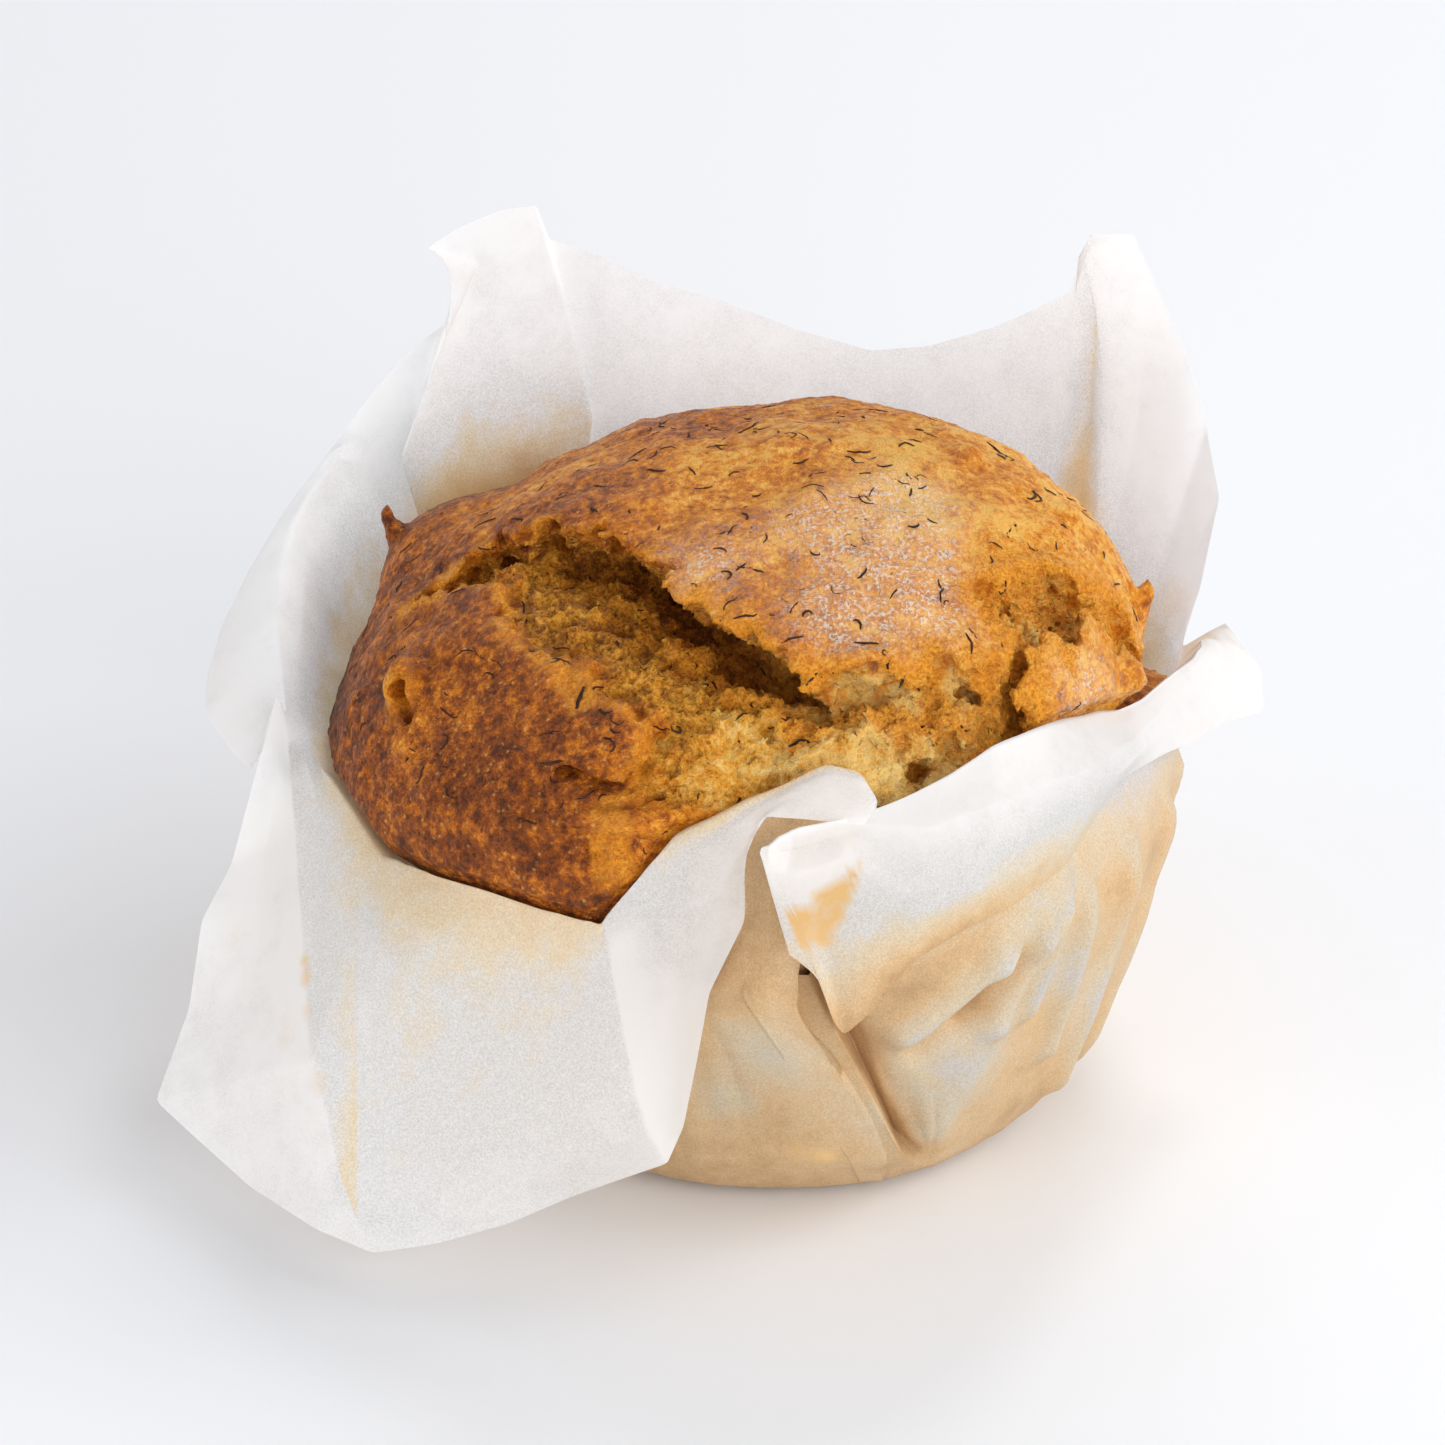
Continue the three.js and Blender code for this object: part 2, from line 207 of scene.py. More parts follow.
     (15.9, -35.6, 33.9)], (0, 0.05, 0.2, 0.4, 0.9)),
    ((313, 302, 0), [(21.9, -27.3, 50.5), (23.2, -31.4, 46.8), (22.5, -32.2, 42.6), (21.8, -32.4, 38.6),
     (20.9, -31.6, 34.4)], (0, 0.1, 0.3, 0.55, 0.85)),
    ((320, 312, 0), [(25.6, -21.4, 48.6), (27.6, -25.8, 45.4), (27.4, -27, 42.8), (26.8, -27, 39.4),
     (25.6, -26.4, 35.2)], (0, 0.1, 0.35, 0.5, 0.7)),
    ((329, 326, 0), [(30.8, -12.2, 44.6), (32.2, -15.4, 42.8), (32.2, -17, 41.4), (31.8, -16.8, 40.4),
     (31.3, -16.2, 38.8)], (0, 0.1, 0.3)),
    ((338, 337, 0), [(33.4, -7.1, 43.1), (34.8, -8.8, 41.8), (35.2, -9.6, 40.4), (35.5, -9.9, 39.4),
     (35.6, -10, 38.3)], (0, 0, 0.1)),
    ((348, 349, 0), [(36.7, -0.6, 42.3), (38, -1.6, 41.2), (38.5, -2.6, 39.4), (38.8, -3.1, 37.8),
     (38.9, -3.4, 36.2)], (0, 0, 0)),
    ((356, 358, 0), [(39, 4.6, 41.3), (40.3, 4, 40.3), (41.2, 3.4, 38.6), (41.9, 3, 36.8), (42.4, 2.8, 35)],
     (0, 0, 0)),
    ((364, 366, 0), [(40.2, 8.4, 40.6), (42, 8, 39.7), (43.8, 7.8, 37.8), (45.4, 7.8, 35.4),
     (46.4, 7.8, 33.4)], (0, 0, 0)),
    ((370, 371, 0), [(40.4, 11.4, 39.6), (42, 11.4, 39.6), (43.4, 11.2, 38.8), (45.2, 11, 37.4),
     (46.4, 10.8, 36.2)], (0.1, 0, 0)),
    (376, [(39.8, 13.4, 37.4), (40.8, 13.6, 38.4), (41.8, 13.6, 39.2), (42.8, 13.4, 39.8),
     (43.6, 13, 40.2)], (0.2, 0, 0)),
    # back right corner, standing
    (382, [(38.8, 15.4, 34.6), (39.2, 15.8, 35), (39.6, 16.4, 35.8)], (0.3, 0.1, 0)),
    (387, [(38.6, 20, 34), (40, 21, 36), (41.4, 22.2, 38.4)], (0.4, 0.1, 0)),
    (391, [(38, 23.2, 34), (40.6, 25.6, 40), (43.6, 28.6, 46)], (0.5, 0, 0)),
    (396, [(36.4, 26.6, 34), (39.8, 30.2, 44), (42.4, 33, 52)], (0.5, 0, 0)),
    (401, [(34, 30, 34.5), (37.6, 33, 48), (39.8, 35, 60.2)], (0.5, 0, 0)),
    (405, [(32.6, 32, 35), (35.6, 35, 51), (36.5, 37, 67)], (0.5, 0, 0)),
    (408, [(31, 33, 35.5), (32.6, 35.4, 48), (34.7, 38, 70.6)], (0.6, 0.2, 0)),
    (411, [(29.4, 34.4, 36), (31.4, 38.4, 52), (31.6, 38.4, 63), (29.6, 39.4, 68), (30.6, 38, 70.4)],
     (0.7, 0.4, 0)),
    (414, [(27, 35.8, 36), (29, 40, 50), (28.6, 41.6, 62.6)], (0.7, 0.25, 0.1)),
    (418, [(24.5, 37.5, 36), (26, 41.5, 49), (24.8, 43.5, 59.7)], (0.6, 0.2, 0.15)),
    # back wall, standing
    (424, [(20.5, 39, 36), (21.5, 42.5, 48), (22.2, 45, 57.7)], (0.6, 0.2, 0.1)),
    (432, [(14.5, 40.8, 36), (15, 43.6, 46), (15.3, 46.4, 54.8)], (0.6, 0.2, 0.2)),
    (439, [(9, 41.8, 36), (9.2, 44.4, 46), (9.3, 46.8, 54.1)], (0.6, 0.2, 0.2)),
    (447, [(2, 42.3, 36), (2, 44.4, 46), (2.2, 46.8, 56.3)], (0.6, 0.2, 0.1)),
    (457, [(-5.4, 42.2, 36), (-5.8, 43.6, 48), (-5.9, 46, 60)], (0.6, 0.2, 0.1)),
    (466, [(-12.4, 40.4, 36), (-12.8, 42, 50), (-12.9, 44.5, 62.8)], (0.6, 0.2, 0.1)),
    (473, [(-17, 38.8, 36), (-17.6, 40.8, 50), (-18, 43, 66.2)], (0.6, 0.2, 0.1)),
    # back left corner, standing, its tip curled over to the left
    (477, [(-19.5, 38, 36), (-20.4, 41.4, 52), (-22.8, 41.6, 68.5)], (0.6, 0.2, 0)),
    (479, [(-20.6, 36.6, 36), (-18.6, 38, 51), (-20.6, 38.8, 60), (-22.4, 39, 67), (-24, 38.2, 73.6)],
     (1.0, 0.1, 0)),
    (486, [(-25, 35, 36), (-26, 34.8, 50), (-26.6, 35.6, 60), (-26.6, 36.4, 68), (-27.2, 36.6, 73.8)],
     (1.3, 0.15, 0)),
    (493, [(-29.5, 31.6, 37), (-31.4, 31.2, 49), (-31, 33, 60), (-30.4, 34.6, 68), (-31.4, 34.4, 72.8)],
     (1.3, 0.15, 0)),
    (498, [(-32.4, 29, 37.6), (-35, 28.4, 49), (-33.8, 30.8, 59.4), (-31, 34, 68.4), (-34.4, 32.8, 71.2)],
     (1.2, 0.1, 0)),
    (501, [(-34, 27.4, 38), (-37.3, 27, 51.4), (-35.4, 29, 56.4), (-33.2, 31.4, 61.6), (-29.6, 34.6, 69.2)],
     (0.8, 0, 0)),
    (501.5, [(-34.2, 28.2, 38.4), (-35.6, 30.6, 50), (-34.8, 33.4, 58), (-33.6, 35, 61.4), (-33, 35.8, 62)],
     (0.6, 0, 0)),
]
SLIT_AFTER = 34            # the sheet's edge runs down between the hidden pleat and the fold

# Under its five points every rib has these rows: a share of the bottom, or a height on the wall.
CUP_ROWS = [(0.35, 0), (0.8, 0), (1.0, 0), (None, 1.6), (None, 6), (None, 14), (None, 22), (None, 29)]
HIP_HEIGHT = 29
CUP_SOAK = 0.85
CUP_STEPS = [3, 3, 3, 3, 7, 12, 12, 10]
FACE_STEPS = [10, 14, 22, 14, 12]
COLUMN = 0.7               # millimetres between neighbouring columns, about

# Creases pressed into the cup's wall by the tin: azimuth and height of one end, then of the
# other end, and the crease's width and height.
WRINKLES = [
    (288.8, 21.5, 301.5, 28.9, 1.7, 1.7), (301.5, 28.9, 311, 33.4, 1.4, 1.2),
    (304, 20.5, 309.8, 29.1, 1.4, 1.4), (309.8, 29.1, 316.2, 33, 1.2, 1.0),
    (311.3, 20, 314.6, 31, 1.2, 1.2), (320.1, 13, 320.5, 31, 1.4, 1.3), (297, 8, 305, 19, 2.4, 0.9),
    (292, 19, 298.5, 23.2, 1.6, -1.2), (298, 21.5, 306, 27, 1.3, -1.1), (330, 6, 333, 32, 1.4, 1.1),
    (347, 4, 350, 30, 1.4, 1.1), (4, 5, 2, 31, 1.2, 1.2), (22, 4, 24, 31, 1.3, 1.1),
    (40, 5, 44, 30, 1.2, 1.3), (58, 4, 55, 31, 1.4, 1.1), (77, 5, 80, 31, 1.2, 1.2),
    (97, 4, 94, 30, 1.3, 1.0), (113, 5, 117, 31, 1.2, 1.3), (131, 4, 129, 30, 1.4, 1.1),
    (150, 5, 153, 31, 1.2, 1.2), (171, 4, 168, 31, 1.3, 1.1), (189, 5, 192, 30, 1.2, 1.1),
    (208, 4, 205, 31, 1.3, 1.2), (226, 5, 229, 30, 1.2, 1.1), (240, 3, 243, 24, 1.1, 0.8)]

# The big pleat at the front: its fold runs through these heights and azimuths. The paper on
# its left swells up to the fold and hangs over a groove on its right.
PLEAT_HEIGHTS = [1, 4.6, 7.5, 12.4, 19.9, 27.4, 32.6]
PLEAT_AZIMUTHS = [297, 293.1, 287.7, 283.6, 278.2, 273, 270.9]
PLEAT_SWELL = 1.7
PLEAT_GROOVE = 2.2
PLEAT_OVERHANG = 1.5
WALL_MM_PER_DEGREE = 0.6
PLEAT_MM_PER_DEGREE = 0.45

SMOOTHING_LOSS = 2.2       # random values shrink when they are smoothed, so they are scaled up again


def soft_grid(sizes, step, rng):
    """Smooth random values from -1 to 1 on a grid of cells, one wave about every step cells."""
    knots = [int(math.ceil(n / step)) + 4 for n in sizes]
    values = rng.uniform(-1, 1, knots).astype(np.float32)
    for axis, n in enumerate(sizes):
        place = np.arange(n) / step + 1
        whole = np.floor(place).astype(int)
        t = place - whole
        weights = np.zeros((n, knots[axis]), np.float32)
        rows = np.arange(n)
        weights[rows, whole - 1] = (1 - t) ** 3 / 6
        weights[rows, whole] = (3 * t ** 3 - 6 * t ** 2 + 4) / 6
        weights[rows, whole + 1] = (-3 * t ** 3 + 3 * t ** 2 + 3 * t + 1) / 6
        weights[rows, whole + 2] = t ** 3 / 6
        values = np.moveaxis(np.tensordot(weights, values, axes=(1, axis)), 0, axis)
    return values * SMOOTHING_LOSS


def ease(value, low, high):
    """0 below low, 1 above high, and smooth between."""
    t = np.clip((value - low) / (high - low), 0, 1)
    return t * t * (3 - 2 * t)


def five_points(points):
    """Three given points spread to five, or five as they are."""
    if len(points) == 5:
        return [np.array(p, float) for p in points]
    first, middle, last = [np.array(p, float) for p in points]
    return [first, (first + middle) / 2, middle, (middle + last) / 2, last]


def cup_point(foot_azimuth, hip_azimuth, lift, share, height):
    """A point of the sheet on the bottom or on the wall of the cup."""
    climb = height / HIP_HEIGHT
    azimuth = math.radians(foot_azimuth + (hip_azimuth - foot_azimuth) * climb)
    if share is None:
        wall = np.interp(height, CUP_HEIGHTS, CUP_RADII) + lift * climb ** 0.4
    else:
        wall = CUP_RADII[0] * share
    return np.array([wall * math.cos(azimuth), wall * math.sin(azimuth), height])


net, net_soak = [], []
for turn, face, soak_and_shade in RIBS:
    foot_azimuth, hip_azimuth, lift = turn if isinstance(turn, tuple) else (turn, turn, 0)
    rows = [np.zeros(3)]
    rows += [cup_point(foot_azimuth, hip_azimuth, lift, share, height) for share, height in CUP_ROWS]
    rows += five_points(face)
    net.append(rows)
    if len(soak_and_shade) == 3:
        leaving, half_way, at_edge = soak_and_shade
        soak_and_shade = (leaving, (leaving + 2 * half_way) / 3, half_way, (half_way + at_edge) / 2, at_edge)
    net_soak.append([CUP_SOAK] * (1 + len(CUP_ROWS)) + list(soak_and_shade))
net, net_soak = np.array(net), np.array(net_soak)
row_steps = CUP_STEPS + FACE_STEPS

# Rows first: each rib is cut into the same number of steps.
fine_rows, fine_soak, row_number = [net[:, 0]], [net_soak[:, 0]], [0.0]
for row, steps in enumerate(row_steps):
    for k in range(1, steps + 1):
        fine_rows.append(net[:, row] + (net[:, row + 1] - net[:, row]) * k / steps)
        fine_soak.append(net_soak[:, row] + (net_soak[:, row + 1] - net_soak[:, row]) * k / steps)
        row_number.append(row + k / steps)
fine_rows, fine_soak, row_number = np.array(fine_rows), np.array(fine_soak), np.array(row_number)

# Then columns: as many between two ribs as the widest gap between them needs.
rib_count = len(RIBS)
columns, column_soak, slit_columns = [], [], None
for rib in range(rib_count):
    beside = (rib + 1) % rib_count
    widest = np.linalg.norm(fine_rows[:, beside] - fine_rows[:, rib], axis=1).max()
    steps = max(2, int(round(widest / COLUMN)))
    if rib == SLIT_AFTER:
        slit_columns = (len(columns), len(columns) + steps)
    for k in range(steps):
        columns.append(fine_rows[:, rib] + (fine_rows[:, beside] - fine_rows[:, rib]) * k / steps)
        column_soak.append(fine_soak[:, rib] + (fine_soak[:, beside] - fine_soak[:, rib]) * k / steps)
sheet_points, sheet_soak = np.array(columns), np.array(column_soak)
column_count, row_count = sheet_points.shape[:2]

# The sheet is thin, so its folds are only just rounded, and above the hip only once.
HIP_ROW = len(CUP_ROWS)    # the row where a rib leaves the cup's wall, its first point
above_hip = row_number > HIP_ROW
for smoothing in range(2):
    around = 0.25 * np.roll(sheet_points, 1, 0) + 0.5 * sheet_points + 0.25 * np.roll(sheet_points, -1, 0)
    held = np.zeros((column_count, row_count, 1))
    held[slit_columns[0]:slit_columns[1] + 1, above_hip] = 1
    if smoothing > 0:
        held[:, row_number > HIP_ROW + 0.7] = 1
    sheet_points = around * (1 - held) + sheet_points * held
    along = sheet_points.copy()
    along[:, 1:-1] = (0.25 * sheet_points[:, :-2] + 0.5 * sheet_points[:, 1:-1]
                      + 0.25 * sheet_points[:, 2:])
    sheet_points = along * (1 - held) + sheet_points * held

# Wrinkles, soft dents from handling, and small puckers where the cup was pressed.
across = np.roll(sheet_points, -1, 0) - np.roll(sheet_points, 1, 0)
up = np.gradient(sheet_points, axis=1)
normals = np.cross(across, up)
normals /= np.maximum(np.linalg.norm(normals, axis=2, keepdims=True), 1e-9)
around_angle = np.degrees(np.arctan2(sheet_points[:, :, 1], sheet_points[:, :, 0]))
cup_height = sheet_points[:, :, 2]
raised = np.zeros((column_count, row_count))
on_wall = ease(row_number, 3.3, 4.5) * (1 - ease(row_number, 9.0, 9.6))
for low_angle, low_height, high_angle, high_height, width, height in WRINKLES:
    run = (high_angle - low_angle) * WALL_MM_PER_DEGREE
    climb = high_height - low_height
    side = ((around_angle - low_angle + 180) % 360 - 180) * WALL_MM_PER_DEGREE
    t = np.clip((side * run + (cup_height - low_height) * climb) / (run * run + climb * climb), 0, 1)
    away = np.hypot(side - t * run, cup_height - low_height - t * climb)
    raised += height * np.exp(-(away / width) ** 2) * on_wall
wrinkle_light_and_shade = raised.copy()      # painted light on the raised creases and painted shade in the sunken ones

# The big pleat: millimetres from its fold, along the wall, then how far the paper swells up
# to the fold, drops behind it and hangs over it.
from_fold = (around_angle - np.interp(cup_height, PLEAT_HEIGHTS, PLEAT_AZIMUTHS) + 180) % 360 - 180
from_fold *= PLEAT_MM_PER_DEGREE
along_fold = ease(cup_height, 2.5, 8) * (1 - ease(cup_height, 29, 34)) * on_wall
swell = PLEAT_SWELL * np.exp(np.minimum(from_fold, 0) / 4.5)
groove = PLEAT_GROOVE * np.exp(-np.maximum(from_fold - 1.0, 0) / 3.2)
raised += along_fold * (swell * (1 - ease(from_fold, 0, 1.0)) - groove * ease(from_fold, 0, 1.0))
overhang = PLEAT_OVERHANG * along_fold * np.exp(-((from_fold + 0.4) / 1.2) ** 2)
# Painted shade in the groove beside the pleat's fold, where the paper hangs over it.
groove_shade = along_fold * np.exp(-((from_fold - 1.3) / 1.1) ** 2)

# Dents all over the sheet. A seam column keeps its place, so that the ring of columns closes.
dents = soft_grid((column_count + 8, row_count), 26, paper_rng)[:column_count]
ripples = soft_grid((column_count + 8, row_count), 8, paper_rng)[:column_count]
SEAM = 25
column_numbers = np.arange(column_count)
seam = ease(column_numbers, 0, SEAM) * (1 - ease(column_numbers, column_count - SEAM, column_count))
on_face = ease(row_number, 9.2, 11.0)
raised += seam[:, None] * (0.35 * on_face * dents + 0.05 * on_face * ripples)
raised += seam[:, None] * on_wall * (0.3 * dents + 0.22 * np.abs(ripples))
sheet_points = sheet_points + normals * raised[:, :, None]
fold_turn = np.radians(around_angle)
sheet_points[:, :, 0] -= np.sin(fold_turn) * overhang
sheet_points[:, :, 1] += np.cos(fold_turn) * overhang
sheet_points[:, :, 2] = np.maximum(sheet_points[:, :, 2], 0.0)

paper_mesh = bpy.data.meshes.new("parchment")
paper_faces = []
for column in range(column_count):
    beside = (column + 1) % column_count
    in_slit = slit_columns[0] <= column < slit_columns[1]
    for row in range(row_count - 1):
        if in_slit and above_hip[row]:
            continue
        a, b = column * row_count + row, beside * row_count + row
        paper_faces.append((a, b, b + 1, a + 1))
paper_mesh.from_pydata((sheet_points.reshape(-1, 3) * MM).tolist(), [], paper_faces)


def vertex_places(mesh):
    """The mesh's vertices as an array in millimetres."""
    flat = np.empty(len(mesh.vertices) * 3, np.float32)
    mesh.vertices.foreach_get("co", flat)
    return flat.reshape(-1, 3) / MM


def give_attribute(mesh, name, values):
    """Keeps one number for each vertex, which the material reads by name."""
    layer = mesh.attributes.new(name, "FLOAT", "POINT")
    layer.data.foreach_set("value", np.ascontiguousarray(values, dtype=np.float32))


# Fat from the batter soaked the sheet where it touched the muffin, and dripped in places.
# Drips, and patches where the wall is painted paler, partly dry paper that lifted off the muffin
# and partly painted highlight where the wall faces the light, each have a place, a reach and a
# strength; the last patch, of negative strength, is darker.
DRIPS = [
    (-31.5, 30.5, 41, 5.5, 1.1), (-27, 34, 40.5, 4.6, 1.1), (-23, 36.5, 40, 4.0, 1.0),
    (-34.5, 28, 43, 3.0, 0.7), (29.6, 35.6, 41, 3.4, 0.7), (29.9, 36.6, 46, 2.4, 0.5),
    (39, 14, 37.6, 4.0, 0.6), (37, 24, 37, 4, 0.4), (-44.3, -25.2, 24.9, 0.7, 0.8),
    (-44.2, -26.6, 23.9, 0.8, 0.9), (-43.9, -29, 21.8, 1.0, 0.4), (-42.8, -34, 17.2, 1.6, 0.3),
    (-51.6, -17, 23, 2.2, 0.2), (-46.2, -28.6, 19.2, 3.0, 0.2), (-34.8, -37.6, 12, 2.6, 0.2),
    (19.8, -28.4, 19, 0.9, 1.2), (23.6, -24.6, 18.4, 1.4, 0.5), (3.9, -31, 7.6, 1.4, 0.9),
    (1.6, -31, 8.4, 1.8, 0.4), (40, 6, 33, 3, 0.4), (-20, 36, 30, 5, 0.5)]
DRY_AND_LIT_PATCHES = [
    (-1.2, -34.8, 21.5, 5.4, 0.34), (15.2, -30.2, 17, 5.6, 0.26), (9, -33.5, 13, 4, 0.2),
    (-6, -33, 14, 3.5, 0.2), (25, -24, 24, 5, 0.3), (30, -15, 16, 6, 0.3), (15, -30, 10, 11, 0.13),
    (-5, -35, 31, 5, -0.14)]
# A watery stain on the folded corner, darker round its rim: its outline seen from the front.
STAIN_OUTLINE = [
    (-0.7, 40), (1.7, 40.6), (4.4, 42.6), (7, 44.4), (6.7, 41.4), (4.9, 36.2), (3.8, 34.8), (1, 34.8)]


def distance_to_line(x, y, line):
    """Distance in a plane from each point to a chain of points."""
    nearest = np.full(np.shape(x), 1e9)
    for (ax, ay), (bx, by) in zip(line[:-1], line[1:]):
        dx, dy = bx - ax, by - ay
        t = np.clip(((x - ax) * dx + (y - ay) * dy) / (dx * dx + dy * dy), 0, 1)
        nearest = np.minimum(nearest, np.hypot(x - ax - t * dx, y - ay - t * dy))
    return nearest


def inside_outline(x, y, outline):
    """True where a point of the plane is inside a closed outline."""
    inside = np.zeros(np.shape(x), bool)
    for (ax, ay), (bx, by) in zip(outline, outline[1:] + outline[:1]):
        crosses = (ay > y) != (by > y)
        with np.errstate(divide="ignore", invalid="ignore"):
            inside ^= crosses & (x < (bx - ax) * (y - ay) / (by - ay) + ax)
    return inside


paper_places = vertex_places(paper_mesh)
# Fat soak from the ribs, with painted light on the raised wrinkles and painted shade in their valleys and in
# the pleat's groove.
soak_and_shade = (sheet_soak - 0.16 * wrinkle_light_and_shade + 0.5 * groove_shade).reshape(-1)
# Painted shade on the peeled corner's face just inside its crease.
crease_row = HIP_ROW + 3
crease_shade_band = (row_number <= crease_row) * np.exp(-(row_number - crease_row) ** 2)
on_peeled_corner = (paper_places[:, 0] < -39) & (paper_places[:, 1] < -6)
soak_and_shade = soak_and_shade + 0.24 * np.tile(crease_shade_band, column_count) * on_peeled_corner
stain_x, stain_z = paper_places[:, 0], paper_places[:, 2]
from_rim = distance_to_line(stain_x, stain_z, STAIN_OUTLINE + STAIN_OUTLINE[:1])
on_flap = np.tile(row_number > crease_row, column_count) & (paper_places[:, 1] < -38.5)
in_stain = inside_outline(stain_x, stain_z, STAIN_OUTLINE) & on_flap
sheet_drips = np.where(in_stain, ease(from_rim, 0, 0.9) * (0.8 + 0.5 * np.exp(-from_rim / 1.2)), 0.0)
for x, y, z, reach, strength in DRIPS:
    away = np.linalg.norm(paper_places - (x, y, z), axis=1) / reach
    sheet_drips = np.maximum(sheet_drips, strength * np.exp(-away ** 2))
# Paler patches: partly dry paper, partly painted highlight.
for x, y, z, reach, strength in DRY_AND_LIT_PATCHES:
    away = np.linalg.norm(paper_places - (x, y, z), axis=1) / reach
    soak_and_shade = soak_and_shade - strength * np.exp(-away ** 2)
give_attribute(paper_mesh, "soak_and_shade", soak_and_shade)
give_attribute(paper_mesh, "drips", sheet_drips)

# All ribs start in the middle of the bottom, so their first points are joined into one.
joiner = bmesh.new()
joiner.from_mesh(paper_mesh)
bmesh.ops.remove_doubles(joiner, verts=joiner.verts, dist=1e-6)
loose = [vert for vert in joiner.verts if not vert.link_faces]
bmesh.ops.delete(joiner, geom=loose, context="VERTS")
joiner.to_mesh(paper_mesh)
joiner.free()


def smooth_piece(name, mesh):
    """An object in the scene that shows the mesh with smooth shading."""
    mesh.polygons.foreach_set("use_smooth", [True] * len(mesh.polygons))
    piece = bpy.data.objects.new(name, mesh)
    bpy.context.collection.objects.link(piece)
    return piece


parchment = smooth_piece("parchment", paper_mesh)


def new_material(name):
    """An empty node material, its tree and its Principled shader."""
    material = bpy.data.materials.new(name)
    material.use_nodes = True
    tree = material.node_tree
    return material, tree, tree.nodes["Principled BSDF"]


def add_node(tree, kind, values=(), **settings):
    """A node with its settings, and default values by input name."""
    node = tree.nodes.new(kind)
    for key, value in settings.items():
        setattr(node, key, value)
    for key, value in dict(values).items():
        node.inputs[key].default_value = value
    return node


def noise(tree, scale, detail=4, roughness=0.6):
    """A noise texture in the object's own space, in waves of 1/scale metres."""
    place = add_node(tree, "ShaderNodeTexCoord")
    texture = add_node(tree, "ShaderNodeTexNoise",
                       {"Scale": scale, "Detail": detail, "Roughness": roughness})
    tree.links.new(place.outputs["Object"], texture.inputs["Vector"])
    return texture.outputs["Fac"]


def math_node(tree, operation, *values, clamp=False):
    """Sockets or numbers put through one arithmetic step."""
    node = add_node(tree, "ShaderNodeMath", operation=operation, use_clamp=clamp)
    for place, value in enumerate(values):
        if isinstance(value, (int, float)):
            node.inputs[place].default_value = value
        else:
            tree.links.new(value, node.inputs[place])
    return node.outputs[0]


def weighted_sum(tree, start, *parts, clamp=False):
    """start plus each socket times its weight; parts are pairs of socket and weight."""
    total = start
    for place, (socket, weight) in enumerate(parts):
        last = place == len(parts) - 1
        total = math_node(tree, "MULTIPLY_ADD", socket, weight, total, clamp=clamp and last)
    return total


def ramp(tree, driver, stops):
    """A colour ramp with stops of (position, colour)."""
    node = add_node(tree, "ShaderNodeValToRGB")
    for end in (0, -1):
        node.color_ramp.elements[end].position = stops[end][0]
        node.color_ramp.elements[end].color = (*stops[end][1], 1)
    for position, colour in stops[1:-1]:
        node.color_ramp.elements.new(position).color = (*colour, 1)
    tree.links.new(driver, node.inputs["Fac"])
    return node.outputs["Color"]


def mix_colour(tree, share, first, second, blend_type="MIX"):
    """first and second, colours or sockets, mixed by share."""
    node = add_node(tree, "ShaderNodeMix", data_type="RGBA", blend_type=blend_type)
    for place, value in ((0, share), (6, first), (7, second)):
        if isinstance(value, (int, float)):
            node.inputs[place].default_value = value
        elif isinstance(value, tuple):
            node.inputs[place].default_value = (*value, 1)
        else:
            tree.links.new(value, node.inputs[place])
    return node.outputs[2]


def attribute(tree, name):
    """The value kept on the mesh's vertices by give_attribute."""
    return add_node(tree, "ShaderNodeAttribute", attribute_name=name).outputs["Fac"]


# White paper that lets some light through, tan and less clear where fat soaked in. The same
# value also carries painted shade in the wrinkles' valleys, the pleat's groove and beside the
# peeled corner's crease, and painted light on the raised wrinkles.
paper_look, tree, shader = new_material("baking_parchment")
clouds = noise(tree, 240, 5, 0.65)
fibre_clouds = noise(tree, 900, 4, 0.75)
fibre_fine = noise(tree, 5200, 2, 0.7)
soak_shade_value = weighted_sum(tree, -0.28, (attribute(tree, "soak_and_shade"), 1.0), (clouds, 0.44), (fibre_clouds, 0.12),
                          clamp=True)
soak_shade_colour = ramp(tree, soak_shade_value, [
    (0.0, (0.96, 0.96, 0.955)), (0.16, (0.90, 0.895, 0.89)), (0.36, (0.82, 0.82, 0.81)),
    (0.55, (0.81, 0.68, 0.48)), (0.78, (0.72, 0.49, 0.26)), (1.0, (0.50, 0.29, 0.13))])
speckle_share = ramp(tree, soak_shade_value, [(0.02, (0, 0, 0)), (0.3, (1, 1, 1))])
speckle = ramp(tree, fibre_fine, [(0.34, (0.84, 0.84, 0.84)), (0.66, (1.1, 1.1, 1.1))])
speckled = mix_colour(tree, speckle_share, soak_shade_colour, mix_colour(tree, 1.0, soak_shade_colour, speckle, "MULTIPLY"))
drip_value = math_node(tree, "MULTIPLY", attribute(tree, "drips"), math_node(tree, "ADD", fibre_clouds, 0.45))
drip_share = ramp(tree, drip_value, [(0.10, (0, 0, 0)), (0.95, (1, 1, 1))])
paper_colour = mix_colour(tree, drip_share, speckled, (0.90, 0.60, 0.26))
tree.links.new(paper_colour, shader.inputs["Base Color"])
shader.inputs["Roughness"].default_value = 0.48
shader.inputs["Specular IOR Level"].default_value = 0.35
paper_relief = weighted_sum(tree, 0.0, (fibre_clouds, 0.6), (fibre_fine, 0.4))
paper_bump = add_node(tree, "ShaderNodeBump", {"Strength": 0.22, "Distance": 0.0002})
tree.links.new(paper_relief, paper_bump.inputs["Height"])
tree.links.new(paper_bump.outputs["Normal"], shader.inputs["Normal"])
glow = add_node(tree, "ShaderNodeBsdfTranslucent")
tree.links.new(paper_colour, glow.inputs["Color"])
shares = add_node(tree, "ShaderNodeMixShader")
